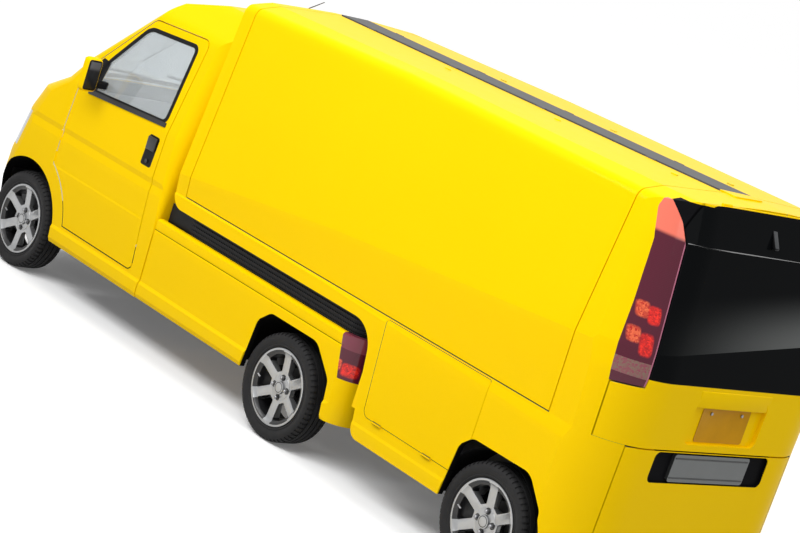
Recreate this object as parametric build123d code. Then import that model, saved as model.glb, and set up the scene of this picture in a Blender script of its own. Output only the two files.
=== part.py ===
"""Six-wheeled kei van: small cab truck carrying a wing-sided box that reaches
down behind the bed onto an axle of its own.

Millimetres. +X forward, +Y left, +Z up. Stations along X are counted from the
middle axle; at export everything moves so that the origin lies on the ground
under the middle of the length.
"""
import os
from math import asin, cos, pi, radians, sin, tan

from build123d import *

# Overall sizes
WHEELBASE = 2420.0
REAR_SPACING = 1530.0
FRONT_OVERHANG = 470.0
FRONT_END = WHEELBASE + FRONT_OVERHANG
REAR_END = -2087.0
HALF_WIDTH = 737.5
ORIGIN_SHIFT = -(FRONT_END + REAR_END) / 2

# Fits
SEAT_GAP = 0.3
SHUT_GAP = 6.0
HINGE_GAP = 3.0
FAR = 3000.0

# Wheels and tyres
TYRE_RADIUS = 268.5
TYRE_WIDTH = 165.0
TYRE_WALL_RADIUS = 236.0
TREAD_WIDTH = 134.0
WHEEL_Y = 632.5
RIM_SEAT_RADIUS = 178.0
RIM_LIP_RADIUS = 192.0
RIM_SEAT_WIDTH = 132.0
RIM_LIP = 6.0
BEAD_RISE = 2.0
RIM_WALL = 9.0
DISC_OUT = 56.0
DISC_THICK = 30.0
DISC_FALL = 12.0
DISC_LIP = 4.0
HUB_DISH = 10.0
HUB_STEP = 8.0
HUB_RADIUS = 62.0
HUB_DEPTH = 40.0
SPOKES = 6
WINDOW_IN = 80.0
WINDOW_OUT = 165.0
SPOKE_WIDTH = 48.0
WINDOW_CORNER = 12.0
WINDOW_IN_CORNER = 8.0
SPINDLE_RADIUS = 30.0
SPINDLE_REACH = 30.0
CAP_RADIUS = 32.0
CAP_RISE = 5.0

# Frame and running gear
RAIL_IN = 300.0
RAIL_OUT = 350.0
RAIL_BOTTOM = 310.0
RAIL_TOP = 390.0
RAIL_ROOM = 8.0
RAIL_FRONT = WHEELBASE + 40.0
RAIL_REAR = -1960.0
CROSS_STATIONS = (1180.0, 620.0, -350.0, -900.0, -1900.0)
CROSS_WIDTH = 60.0
CROSS_HEIGHT = 60.0
BEARER_STATIONS = (1120.0, 640.0, -40.0, -380.0)
CAB_MOUNT_STATIONS = (-270.0, -1100.0)
ARM_BOTTOM = 176.0
ARM_TOP = 200.0
ARM_HALF = 30.0
AXLE_RADIUS = 34.0
DRUM_RADIUS = 100.0
DRUM_IN = 520.0
DRUM_OUT = 600.0
PAD_LENGTH = 120.0
KINGPIN_Y = 512.0
STRUT_RADIUS = 22.0
CARRIER_RADIUS = 58.0
DISC_BRAKE = 24.0
CRADLE_LAP = 1.0
ENGINE_FRONT = 560.0
ENGINE_REAR = 110.0
ENGINE_HALF = 265.0
ENGINE_BOTTOM = 250.0
ENGINE_TOP = 610.0
ENGINE_LUG = 50.0

# Wheel arches, as outlines about the axle: along, height, corner radius
FRONT_ARCH_RADIUS = 345.0
WELL_IN = 392.0
WELL_WALL = 12.0
MIDDLE_ARCH = ((-420, -100, 0), (-352, 452, 60), (-205, 588, 90), (165, 588, 70), (250, 520, 60), (318, -100, 0))
REAR_ARCH = ((-400, -100, 0), (-318, 470, 60), (-205, 592, 90), (175, 590, 70), (246, 530, 60), (320, -100, 0))

# Cab
CAB_REAR = -1198.0
CAB_TIGHT = 4.0
CAB_WALL = 36.0
CAB_PIVOT = -1990.0
CAB_SWEEP = 100.0
CAB_NOSE = ((-1820, 150, 0), (430, 150, 0), (442, 285, 60), (FRONT_OVERHANG, 430, 70), (458, 600, 60),
            (410, 780, 60), (345, 970, 110), (135, 1092, 60), (-495, 1720, 170), (-780, 1800, 0),
            (-1240, 1800, 0), (-1820, 1760, 0))
CAB_SKIRT = ((700, 150, 0), (728, 262, 0), (737.5, 285, 0), (737.5, 340, 0), (729, 356, 0))
CAB_FLANK = ((729, 150, 0), (729, 356, 0))
CAB_SECTION = ((737.5, 645, 0), (737.5, 798, 0), (731, 840, 0), (737.5, 868, 0), (720, 1112, 0),
               (612, 1640, 110), (400, 1815, 200))
# Plan outlines by height: height, front at the corners, half width, front corner radius, rear corner radius
CAB_LEVELS = ((100, 335, 741, 290, 8), (430, 361, 741, 300, 8), (600, 350, 741, 300, 8), (867, 272, 741, 300, 60),
              (1007, 198, 732, 290, 80), (1113, -17, 725, 200, 100), (1277, -176, 691, 110, 110),
              (1673, -589, 608, 90, 110), (1850, -755, 571, 80, 110))
CAB_BULGE = 172.0
CAB_SILL = 262.0
CAB_FLOOR_TOP = 450.0
CAB_FLOOR_THICK = 24.0
GLASS = 6.0
SCREEN = ((-600, 1122, 60), (600, 1122, 60), (520, 1640, 90), (-520, 1640, 90))
SCREEN_REAR = -720.0
DOOR_ARC_RADIUS = 437.0
DOOR_FRONT = -199.0
DOOR_FRONT_TOP = 1060.0
DOOR_BARRELS = (700.0, 820.0)
DOOR_BOTTOM = 371.0
DOOR_REAR = ((-1108, DOOR_BOTTOM, 40), (-1071, 819, 0), (-1058, 1079, 0), (-1052, 1632, 50))
DOOR_TOP = ((-567, 1607, 60), (-270, 1283, 60), (-205, 1150, 40))
DOOR_INNER_Y = 400.0
WINDOW = ((-322, 1118, 30), (-342, 1275, 60), (-552, 1548, 60), (-974, 1572, 40), (-1000, 1156, 40))
HANDLE = ((-1016, 908, 14), (-924, 908, 14), (-924, 1072, 14), (-1016, 1072, 14))
BUMPER_TOP = 600.0
BUMPER_REAR = 268.0
BUMPER_BOTTOM = 200.0
GRILLE = ((-430, 300, 40), (430, 300, 40), (470, 430, 40), (-470, 430, 40))
GRILLE_BARS = 4
GRILLE_BAR = 12.0
GRILLE_SINK = 10.0
LAMP_IN = 395.0
HEADLAMP = ((LAMP_IN, 650, 30), (790, 634, 0), (790, 862, 0), (LAMP_IN + 45, 806, 60))
HEADLAMP_REAR = ((206, 600), (128, 890))
DASH = ((-90, 820, 0), (-90, 1075, 0), (-180, 1090, 30), (-300, 1010, 60), (-270, 820, 50))
WHEEL_SIDE = -330.0
STEERING_RADIUS = 178.0
STEERING_TUBE = 14.0
STEERING_TILT = 55.0
STEERING_STATION = -430.0
STEERING_HEIGHT = 985.0
COLUMN_LENGTH = 230.0
COLUMN_RADIUS = 22.0
STEERING_BAR = 40.0
STEERING_BAR_THICK = 16.0
BOSS_RADIUS = 48.0
SEAT_WIDTH = 480.0
SEAT_Y = 330.0
SEAT = ((-1090, CAB_FLOOR_TOP, 0), (-620, CAB_FLOOR_TOP, 0), (-590, 600, 40), (-560, 735, 50), (-940, 705, 50),
        (-1040, 1330, 45), (-1158, 1330, 45), (-1090, 640, 0))
MIRROR_HEAD = ((-458, 752, 30), (-362, 790, 40), (-380, 885, 40), (-458, 892, 25))
MIRROR_BOTTOM = 1130.0
MIRROR_TOP = 1308.0
MIRROR_ARM = ((-440, 690, 0), (-340, 690, 0), (-380, 790, 0), (-430, 790, 0))
MIRROR_ARM_BOTTOM = 1150.0
MIRROR_ARM_TOP = 1195.0

# Bed
CAB_BED_GAP = 8.0
BED_FRONT = WHEELBASE + CAB_REAR - CAB_BED_GAP
BED_TAIL = -486.0
BED_TAIL_RADIUS = 130.0
BED_BOTTOM = 265.0
BED_RAIL = 700.0
BED_WALL = 38.0
DECK_BOTTOM = 640.0
DECK_TOP = 665.0
BED_SECTION = ((718, 150, 0), (728, 262, 0), (737.5, 285, 0), (737.5, 340, 0), (729, 356, 0),
               (735, 630, 0), (732, 640, 0), (735, 650, 0), (735, 690, 8), (720, 701, 0))
BED_LAMP = ((-352, 720, 0), (-404, 478, 12), (-700, 478, 0), (-700, 720, 0))
BED_LAMP_IN = 520.0
BED_LAMP_BOTTOM = 485.0
SKIRT_FRONT = BED_FRONT - 229.0
SKIRT_FACE = 696.0
SKIRT_THICK = 24.0
SKIRT_RIBS = 6
SKIRT_RIB = 9.0
RIB_START = 0.2
RIB_END = 0.8

# Box
CAB_BOX_GAP = 72.0
BOX_FRONT = WHEELBASE + CAB_REAR - CAB_BOX_GAP
BOX_BASE = 798.0
BOX_WALL = 36.0
BOX_WALL_FRONT = BOX_FRONT - 88.0
BOX_SILL = 275.0
BOX_TOP = 1950.0
WAIST = 870.0
PAST_REAR = REAR_END - 163.0
TAILGATE_TOP = -1938.0
ROOF_FLAT = 110.0
# Section stations: along, shoulder band foot, side crease height, roof crease height, roof shoulder height
BOX_STATIONS = ((BOX_FRONT + 50, WAIST - 8, 962, BOX_TOP - 62, BOX_TOP - 22),
                (-100, WAIST - 12, 1112, BOX_TOP - 30, BOX_TOP - 8),
                (REAR_END - 63, WAIST - 78, 1283, BOX_TOP - 52, BOX_TOP - 16))
ROOF_CREASE_Y = 641.0
ROOF_SHOULDER_Y = 500.0
ROOF_RADIUS = 55.0
ROOF_SLOPE = 0.6
BOX_FOOT = 150.0
BOX_TUCK = 5.0
BOX_SKIRT = 4.0
BOX_SKIRT_LOW = 336.0
BOX_SKIRT_HIGH = 350.0
BOX_SHOULDER = 5.0
BOX_OVER = BOX_TOP + 35.0
BOX_SIDE = ((BOX_FRONT, BOX_TOP - 25, 70), (BOX_FRONT - 110, BOX_OVER, 0), (PAST_REAR, BOX_OVER, 0),
            (PAST_REAR, BOX_SILL, 0), (-606, BOX_SILL, 60), (-528, BOX_BASE, 150), (BOX_FRONT, BOX_BASE, 90))
# Plan outlines by height: height, rear end, half width, rear corner radius
BOX_LEVELS = ((BOX_FOOT, -2060, 741, 300), (WAIST, -2076, 741, 300), (1175, REAR_END, 741, 300), (1283, -2072, 741, 300),
              (1762, -2004, 667, 270), (BOX_TOP + 50, TAILGATE_TOP, 631, 250))
SPINE_HALF = 92.0
SPINE_THICK = 40.0
SPINE_RISE = 6.0
SPINE_REAR = -1780.0
WING_EDGE = 101.0
WING_AXIS_Y = 98.0
WING_FRONT = BOX_WALL_FRONT - HINGE_GAP
WING_REAR = -1716.0
WING_BARRELS = (800.0, 150.0, -500.0, -1250.0)
FLOOR_THICK = 22.0
STEP_FACE = -520.0
RISER_BACK = 112.0
FLOOR_SIDE_GAP = 8.0
FLOOR_CUT = -780.0
LOW_FLOOR_REAR = -1985.0
LOW_FLOOR_RADIUS = 280.0
WHEEL_BOX_IN = 500.0
WHEEL_BOX_HALF = 440.0
WHEEL_BOX_TOP = 640.0
WHEEL_BOX_WALL = 10.0
GATE_BOTTOM = 396.0
GATE_TOP = WAIST - 6.0
GATE = ((-1345, GATE_TOP, 12), (-1345, GATE_BOTTOM, 0), (-1200, GATE_BOTTOM, 0), (-648, GATE_BOTTOM, 40),
        (-607, GATE_TOP, 12))
GATE_INNER_Y = 600.0
GATE_AXIS_Y = 737.5
GATE_BARRELS = (-760.0, -1120.0)
LAMP_BOTTOM = 1122.0
LAMP_RISE = 0.13
LAMP_AHEAD = 150.0
LAMP_BEHIND = 300.0
LAMP_FOOT = 1100.0
LAMP_HEAD = 1935.0
LAMP_SIDE = 900.0
PAST_MIDDLE = -400.0
GLASS_TOP = 1925.0
GLASS_MARGIN = 4.0
LAMP_EDGE = ((586, LAMP_FOOT, 0), (562, 1429, 0), (538, 1747, 60), (556, 1836, 60), (600, LAMP_HEAD, 0))
LAMP_OUTER = ((-1950, 1050, 0), (-1908, 1469, 0), (-1871, 1739, 60), (-1826, 1871, 40), (-1840, 1960, 0))
TAILGATE_SIDE = -1950.0
TAILGATE_BOTTOM = WAIST - 2.0
TAILGATE_AXIS_Z = BOX_TOP - 6.0
TAILGATE_HEAD = 1850.0
TAILGATE_HEAD_HALF = 560.0
TAILGATE_HEAD_ROOM = 600.0
TAILGATE_STEP = 3.0
TAILGATE_BARRELS = (-330.0, 330.0)
GLASS_BOTTOM = 1172.0
REAR_GLASS = 9.0
REAR_WINDOW = ((-500, 1240, 50), (500, 1240, 50), (460, 1720, 50), (-460, 1720, 50))
PLATE_POCKET = ((-245, 900, 30), (245, 900, 30), (245, 1120, 50), (-245, 1120, 50))
POCKET_DEEP = 28.0
PLATE_HOLE_SPACING = 210.0
PLATE_HOLE_HEIGHT = 1045.0
PLATE_HOLE_RADIUS = 3.25
DROP_HALF = 568.0
DROP_BOTTOM = 330.0
DROP_TOP = WAIST - 9.0
DROP_AXIS_X = -2063.0
DROP_BARRELS = (-400.0, 400.0)
GRIP_POCKET = ((-392, 712, 30), (392, 712, 30), (392, 858, 30), (-392, 858, 30))
GRIP = ((-258, 720, 14), (258, 720, 14), (258, 850, 14), (-258, 850, 14))
GRIP_DEEP = 30.0
REAR_SLAB = -1800.0

# Hinge barrels
BARREL_RADIUS = 7.0
BARREL_LENGTH = 60.0
BARREL_END = 1.0


def outline(rows):
    """Closed flat face from rows of along, across and corner radius."""
    corners = []
    count = len(rows)
    area = sum(rows[i - 1][0] * rows[i][1] - rows[i][0] * rows[i - 1][1] for i in range(count))
    if area < 0:
        rows = tuple(reversed(rows))
    for i, (u, v, radius) in enumerate(rows):
        point = Vector(u, v)
        if not radius:
            corners.append((point, None, point))
            continue
        back = (Vector(*rows[i - 1][:2]) - point).normalized()
        ahead = (Vector(*rows[(i + 1) % count][:2]) - point).normalized()
        half = radians(back.get_angle(ahead) / 2)
        run = radius / tan(half)
        middle = (back + ahead).normalized() * (radius / sin(half) - radius)
        corners.append((point + back * run, point + middle, point + ahead * run))
    edges = []
    for i, (start, middle, end) in enumerate(corners):
        if middle is not None:
            edges.append(ThreePointArc(start, middle, end).edge())
        follow = corners[(i + 1) % count][0]
        if (follow - end).length > 1e-6:
            edges.append(Line(end, follow).edge())
    return Face(Wire(edges))


def side_prism(rows, y_from=-FAR, y_to=FAR):
    """Solid from a side-view outline, from one Y to another."""
    face = Plane((0, y_to, 0), x_dir=(1, 0, 0), z_dir=(0, -1, 0)) * outline(rows)
    return extrude(face, amount=y_to - y_from)


def end_prism(rows, x_from=-FAR, x_to=FAR):
    """Solid from a rear-view outline of Y and Z, from one X to another."""
    face = Plane((x_from, 0, 0), x_dir=(0, 1, 0), z_dir=(1, 0, 0)) * outline(rows)
    return extrude(face, amount=x_to - x_from)


def plan_prism(rows, z_from, z_to):
    """Solid from a plan outline, from one height to another."""
    return extrude(Plane((0, 0, z_from)) * outline(rows), amount=z_to - z_from)


def block(x_from, x_to, y_from, y_to, z_from, z_to):
    """Box between limits."""
    size = Box(x_to - x_from, y_to - y_from, z_to - z_from)
    return Pos((x_from + x_to) / 2, (y_from + y_to) / 2, (z_from + z_to) / 2) * size


def rod(start, end, radius):
    """Round bar between two points."""
    start, end = Vector(*start), Vector(*end)
    return extrude(Plane(start, z_dir=end - start) * Circle(radius), amount=(end - start).length)


def shrunk(rows, by):
    """Outline drawn in by an even margin."""
    count = len(rows)
    area = sum(rows[i - 1][0] * rows[i][1] - rows[i][0] * rows[i - 1][1] for i in range(count))
    turn = 1 if area > 0 else -1
    drawn = []
    for i, (u, v, radius) in enumerate(rows):
        point = Vector(u, v)
        before = (point - Vector(*rows[i - 1][:2])).normalized()
        after = (Vector(*rows[(i + 1) % count][:2]) - point).normalized()
        inward = [Vector(-d.Y, d.X) * turn for d in (before, after)]
        moved = point + (inward[0] + inward[1]) * (by / (1 + inward[0].dot(inward[1])))
        convex = turn * (before.X * after.Y - before.Y * after.X) > 0
        reach = max(radius - by, 0) if convex else radius + by
        drawn.append((moved.X, moved.Y, reach if radius else 0))
    return outline(drawn)


def mirrored(shape):
    """The same piece on the other side."""
    return mirror(shape, about=Plane.XZ)


def barrels(points, along, grow=0.0):
    """Hinge barrels on one axis, grown for their sockets."""
    reach = Vector(*along) * (BARREL_LENGTH / 2 + (BARREL_END if grow else 0.0))
    made = [rod(Vector(*p) - reach, Vector(*p) + reach, BARREL_RADIUS + grow) for p in points]
    return Compound(made) if len(made) > 1 else made[0]


def cut(shape, tools):
    """Take several solids away in turn."""
    for tool in tools:
        shape = shape - tool
    return shape


nodes = {}


def keep(name, *shapes):
    """Name a node and move it to the shared origin."""
    solids = [s for shape in shapes for s in shape.solids()]
    placed = [Pos(ORIGIN_SHIFT, 0, 0) * s for s in solids]
    nodes[name] = placed[0] if len(placed) == 1 else Compound(placed)


def keep_cab(name, *shapes):
    """Name a node built about the front axle."""
    keep(name, *[Pos(WHEELBASE, 0, 0) * s for shape in shapes for s in shape.solids()])


# Wheels
bead_half = RIM_SEAT_WIDTH / 2 - SEAT_GAP
tyre_rows = ((RIM_SEAT_RADIUS + SEAT_GAP, bead_half), (RIM_LIP_RADIUS + BEAD_RISE, bead_half),
             (TYRE_WALL_RADIUS, TYRE_WIDTH / 2), (TYRE_RADIUS, TREAD_WIDTH / 2))
tyre_face = outline([(r, w, 0) for r, w in tyre_rows] + [(r, -w, 0) for r, w in reversed(tyre_rows)])
tyre = revolve(tyre_face, Axis.Y, 360)

barrel_half = RIM_SEAT_WIDTH / 2
lip_half = barrel_half + RIM_LIP
bore_radius = RIM_SEAT_RADIUS - RIM_WALL
disc_in = DISC_OUT - DISC_THICK
rim_rows = ((0, disc_in, 0), (bore_radius, disc_in - DISC_FALL, 0), (bore_radius, -lip_half, 0), (RIM_LIP_RADIUS, -lip_half, 0),
            (RIM_LIP_RADIUS, -barrel_half, 0), (RIM_SEAT_RADIUS, -barrel_half, 0), (RIM_SEAT_RADIUS, barrel_half, 0),
            (RIM_LIP_RADIUS, barrel_half, 0), (RIM_LIP_RADIUS, lip_half, 0), (RIM_SEAT_RADIUS, lip_half, 0),
            (bore_radius, DISC_OUT + DISC_LIP, 0), (HUB_RADIUS, DISC_OUT - HUB_DISH, 0), (0, DISC_OUT - HUB_DISH, 0))
rim = revolve(outline(rim_rows), Axis.Y, 360)
window_rows = [(WINDOW_OUT, 0, 0)]
for reach, corner in ((WINDOW_OUT, WINDOW_CORNER), (WINDOW_IN, WINDOW_IN_CORNER)):
    spread = pi / SPOKES - asin(SPOKE_WIDTH / 2 / reach)
    window_rows.append((reach * cos(spread), reach * sin(spread), corner))
    window_rows.insert(0, (reach * cos(spread), -reach * sin(spread), corner))
window = side_prism(window_rows, -lip_half, lip_half)
for i in range(SPOKES):
    rim = rim - window.rotate(Axis.Y, 360 / SPOKES * i + 90)
rim = rim + rod((0, disc_in - HUB_DEPTH, 0), (0, DISC_OUT - HUB_STEP, 0), HUB_RADIUS)
rim = rim + rod((0, DISC_OUT - HUB_STEP, 0), (0, DISC_OUT + CAP_RISE, 0), CAP_RADIUS)
rim = rim - rod((0, disc_in - HUB_DEPTH, 0), (0, SPINDLE_REACH, 0), SPINDLE_RADIUS + SEAT_GAP)

AXLES = (("front", WHEELBASE), ("middle", 0.0), ("rear", -REAR_SPACING))
for axle_name, station in AXLES:
    place = Pos(station, WHEEL_Y, TYRE_RADIUS)
    keep(f"tyre_{axle_name}_left", place * tyre)
    keep(f"tyre_{axle_name}_right", mirrored(place * tyre))
    keep(f"rim_{axle_name}_left", place * rim)
    keep(f"rim_{axle_name}_right", mirrored(place * rim))

# Middle and rear axles
spindle_end = WHEEL_Y + SPINDLE_REACH - SEAT_GAP
for axle_name, station in AXLES[1:]:
    beam = rod((station, -DRUM_OUT, TYRE_RADIUS), (station, DRUM_OUT, TYRE_RADIUS), AXLE_RADIUS)
    for side in (1, -1):
        beam = beam + rod((station, side * DRUM_IN, TYRE_RADIUS), (station, side * DRUM_OUT, TYRE_RADIUS), DRUM_RADIUS)
        tip = (station, side * spindle_end, TYRE_RADIUS)
        beam = beam + rod((station, side * DRUM_IN, TYRE_RADIUS), tip, SPINDLE_RADIUS)
        pad_from, pad_to = sorted((side * RAIL_IN, side * RAIL_OUT))
        beam = beam + block(station - PAD_LENGTH / 2, station + PAD_LENGTH / 2, pad_from, pad_to,
                            TYRE_RADIUS, RAIL_BOTTOM)
    keep(f"{axle_name}_axle", beam)

# Front knuckles
strut_top = TYRE_RADIUS + FRONT_ARCH_RADIUS - WELL_WALL
knuckle = rod((WHEELBASE, KINGPIN_Y, ARM_TOP + SEAT_GAP), (WHEELBASE, KINGPIN_Y, strut_top - SEAT_GAP), STRUT_RADIUS)
knuckle = knuckle + rod((WHEELBASE, KINGPIN_Y, TYRE_RADIUS), (WHEELBASE, DRUM_OUT, TYRE_RADIUS), CARRIER_RADIUS)
knuckle = knuckle + rod((WHEELBASE, DRUM_OUT - DISC_BRAKE, TYRE_RADIUS), (WHEELBASE, DRUM_OUT, TYRE_RADIUS), DRUM_RADIUS)
knuckle = knuckle + rod((WHEELBASE, KINGPIN_Y, TYRE_RADIUS), (WHEELBASE, spindle_end, TYRE_RADIUS), SPINDLE_RADIUS)
keep("knuckle_left", knuckle)
keep("knuckle_right", mirrored(knuckle))

# Ladder frame
frame = block(WHEELBASE - CROSS_WIDTH, WHEELBASE + CROSS_WIDTH, -RAIL_OUT, RAIL_OUT, ARM_BOTTOM, RAIL_BOTTOM + CRADLE_LAP)
for side in (1, -1):
    rail_from, rail_to = sorted((side * RAIL_IN, side * RAIL_OUT))
    frame = frame + block(RAIL_REAR, RAIL_FRONT, rail_from, rail_to, RAIL_BOTTOM, RAIL_TOP)
    arm_from, arm_to = sorted((side * RAIL_IN, side * KINGPIN_Y))
    frame = frame + block(WHEELBASE - ARM_HALF, WHEELBASE + ARM_HALF, arm_from, arm_to, ARM_BOTTOM, ARM_TOP)
    eye = (WHEELBASE, side * KINGPIN_Y)
    frame = frame + rod((*eye, ARM_BOTTOM), (*eye, ARM_TOP), ARM_HALF)
    for station in BEARER_STATIONS:
        frame = frame + block(station, station + CROSS_WIDTH, rail_from, rail_to, RAIL_TOP, DECK_BOTTOM)
    for offset_x in CAB_MOUNT_STATIONS:
        station = WHEELBASE + offset_x
        frame = frame + block(station, station + CROSS_WIDTH, rail_from, rail_to, RAIL_TOP,
                              CAB_FLOOR_TOP - CAB_FLOOR_THICK)
for station in CROSS_STATIONS:
    frame = frame + block(station - CROSS_WIDTH / 2, station + CROSS_WIDTH / 2, -RAIL_OUT, RAIL_OUT,
                          RAIL_TOP - CROSS_HEIGHT, RAIL_TOP)
keep("chassis_frame", frame)

engine = block(ENGINE_REAR, ENGINE_FRONT, -ENGINE_HALF, ENGINE_HALF, ENGINE_BOTTOM, ENGINE_TOP)
engine_mid = (ENGINE_REAR + ENGINE_FRONT) / 2
engine = engine + block(engine_mid - ENGINE_LUG, engine_mid + ENGINE_LUG, -RAIL_IN, RAIL_IN,
                        RAIL_BOTTOM, RAIL_TOP - CROSS_HEIGHT / 2)
keep("engine_block", engine)


# Cab, built about the front axle and then moved to it
def cab_body(inset):
    """Cab as a full solid, drawn in by an even wall."""
    nose = outline(CAB_NOSE) if not inset else shrunk(CAB_NOSE, inset)
    upright = Axis((CAB_PIVOT, 0, 0), (0, 0, 1))
    nose = (Plane.XZ * nose).rotate(upright, -CAB_SWEEP / 2)
    body = revolve(nose, upright, CAB_SWEEP)
    rows = (CAB_FLANK if inset else CAB_SKIRT) + CAB_SECTION
    rows = rows + tuple((-y, z, r) for y, z, r in reversed(rows))
    section = outline(rows) if not inset else shrunk(rows, inset)
    body = body & extrude(Plane.YZ * section, amount=FAR, both=True)
    levels = []
    for height, front, half, corner, tail in CAB_LEVELS:
        tight = max(tail - inset, CAB_TIGHT)
        rows = [(CAB_REAR + inset, inset - half, tight), (front - inset, inset - half, corner - inset),
                (front + CAB_BULGE - inset, 0, 0), (front - inset, half - inset, corner - inset),
                (CAB_REAR + inset, half - inset, tight)]
        levels.append(Plane((0, 0, height)) * outline(rows))
    return body & loft(levels, ruled=True)


cab_outer = cab_body(0.0)
cab_inner = cab_body(CAB_WALL)
cab_glass = cab_outer - cab_body(GLASS)
cab_wall = cab_outer - cab_inner

wells = []
liners = []
for side in (1, -1):
    hub = (0, side * WELL_IN, TYRE_RADIUS)
    out = (0, side * FAR, TYRE_RADIUS)
    y_from, y_to = sorted((side * WELL_IN, side * FAR))
    wells.append(rod(hub, out, FRONT_ARCH_RADIUS) + block(-FRONT_ARCH_RADIUS,
                 FRONT_ARCH_RADIUS, y_from, y_to, 0, TYRE_RADIUS))
    y_from, y_to = sorted((side * (WELL_IN - WELL_WALL), side * FAR))
    hub = (0, side * (WELL_IN - WELL_WALL), TYRE_RADIUS)
    grown = FRONT_ARCH_RADIUS + WELL_WALL
    liners.append(rod(hub, out, grown) + block(-grown, grown, y_from, y_to, 0, TYRE_RADIUS))

cab_room = cab_inner & block(-FAR, FAR, -FAR, FAR, CAB_FLOOR_TOP, FAR)
cab_under = cab_inner & block(-FAR, FAR, -FAR, FAR, 0, CAB_FLOOR_TOP - CAB_FLOOR_THICK)
for liner in liners:
    cab_room = cab_room - liner
    cab_under = cab_under - liner
cab_shell = cab_outer & block(-FAR, FAR, -FAR, FAR, CAB_SILL, FAR)
rail_way = block(-FAR, FAR, -RAIL_OUT - RAIL_ROOM, RAIL_OUT + RAIL_ROOM, 0, RAIL_TOP + RAIL_ROOM)
cab_shell = cut(cab_shell, [cab_room, cab_under, rail_way])
cab_shell = cut(cab_shell, wells)

# Door openings follow the wheel arch at their lower front corner
arc_top = TYRE_RADIUS + (DOOR_ARC_RADIUS**2 - DOOR_FRONT**2) ** 0.5
door_rows = DOOR_REAR + DOOR_TOP + ((DOOR_FRONT, DOOR_FRONT_TOP, 0), (DOOR_FRONT, arc_top, 0),
                                    (DOOR_FRONT, DOOR_BOTTOM, 0))
door_hole = side_prism(door_rows, DOOR_INNER_Y, FAR)
door_hole = door_hole - rod((0, 0, TYRE_RADIUS), (0, FAR, TYRE_RADIUS), DOOR_ARC_RADIUS)
door_slab = extrude(Plane((0, FAR, 0), x_dir=(1, 0, 0), z_dir=(0, -1, 0)) * shrunk(door_rows, SHUT_GAP),
                    amount=FAR - DOOR_INNER_Y)
door_slab = door_slab - rod((0, 0, TYRE_RADIUS), (0, FAR, TYRE_RADIUS), DOOR_ARC_RADIUS + SHUT_GAP)
window_hole = side_prism(WINDOW, DOOR_INNER_Y, FAR)
door_axis = (DOOR_FRONT - HINGE_GAP, HALF_WIDTH)
door_pins = [(*door_axis, height) for height in DOOR_BARRELS]
door = (cab_wall & door_slab) - window_hole
handle_slab = side_prism(HANDLE, DOOR_INNER_Y, FAR)
handle = cab_glass & handle_slab
door = door - handle
door = door + barrels(door_pins, (0, 0, 1))
door_glass = cab_glass & window_hole
door_space = cab_wall & door_hole
cab_shell = cut(cab_shell, [door_space, mirrored(door_space)])
sockets = barrels(door_pins, (0, 0, 1), SEAT_GAP)
cab_shell = cut(cab_shell, [sockets, mirrored(sockets)])
keep_cab("door_left", door)
keep_cab("door_right", mirrored(door))
keep_cab("door_glass_left", door_glass)
keep_cab("door_glass_right", mirrored(door_glass))
keep_cab("door_handle_left", handle)
keep_cab("door_handle_right", mirrored(handle))

screen_hole = end_prism(SCREEN, SCREEN_REAR, FAR)
windscreen = cab_glass & screen_hole
cab_shell = cab_shell - screen_hole
keep_cab("windscreen", windscreen)

bumper_zone = block(BUMPER_REAR, FAR, -FAR, FAR, 0, BUMPER_TOP)
bumper = (cab_outer & bumper_zone & block(-FAR, FAR, -FAR, FAR, BUMPER_BOTTOM, FAR)) - cab_inner
bumper = cut(bumper, wells)
lamp_side = [(*point, 0) for point in HEADLAMP_REAR] + [(FAR, HEADLAMP_REAR[1][1], 0), (FAR, HEADLAMP_REAR[0][1], 0)]
lamp_hole = end_prism(HEADLAMP, 0, FAR) & side_prism(lamp_side)
headlamp = cab_wall & lamp_hole
grille_hole = end_prism(GRILLE, BUMPER_REAR, FAR)
grille_low, grille_high = GRILLE[0][1], GRILLE[2][1]
pitch = (grille_high - grille_low) / (GRILLE_BARS + 1)
bars = [block(BUMPER_REAR, FAR, -FAR, FAR, grille_low + pitch * (i + 1) - GRILLE_BAR / 2,
              grille_low + pitch * (i + 1) + GRILLE_BAR / 2) for i in range(GRILLE_BARS)]
grille_zone = (cab_body(GRILLE_SINK) - cab_inner) & grille_hole
grille = Compound([s for bar in bars for s in (grille_zone & bar).solids()])
cab_shell = cut(cab_shell, [bumper_zone, lamp_hole, mirrored(lamp_hole)])
bumper = cut(bumper, [grille_hole, lamp_hole, mirrored(lamp_hole)])
keep_cab("cab_shell", cab_shell)
keep_cab("front_bumper", bumper)
keep_cab("front_grille", grille)
keep_cab("headlamps", headlamp, mirrored(headlamp))

dash = side_prism(DASH, -FAR, FAR) & cab_room
keep_cab("dashboard", dash)
ring = Torus(STEERING_RADIUS, STEERING_TUBE)
bar_across = Box(2 * STEERING_RADIUS, STEERING_BAR, STEERING_BAR_THICK)
stem = Pos(0, 0, -COLUMN_LENGTH / 2) * Cylinder(COLUMN_RADIUS, COLUMN_LENGTH)
boss = Cylinder(BOSS_RADIUS, STEERING_BAR)
wheel = Pos(STEERING_STATION, WHEEL_SIDE, STEERING_HEIGHT) * Rot(0, -STEERING_TILT, 0) * (ring + bar_across.rotate(
    Axis.Z, 90) + boss + stem)
keep_cab("steering_wheel", wheel - dash)
seat = side_prism(SEAT, SEAT_Y - SEAT_WIDTH / 2, SEAT_Y + SEAT_WIDTH / 2)
keep_cab("seats", seat, mirrored(seat))

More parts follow.
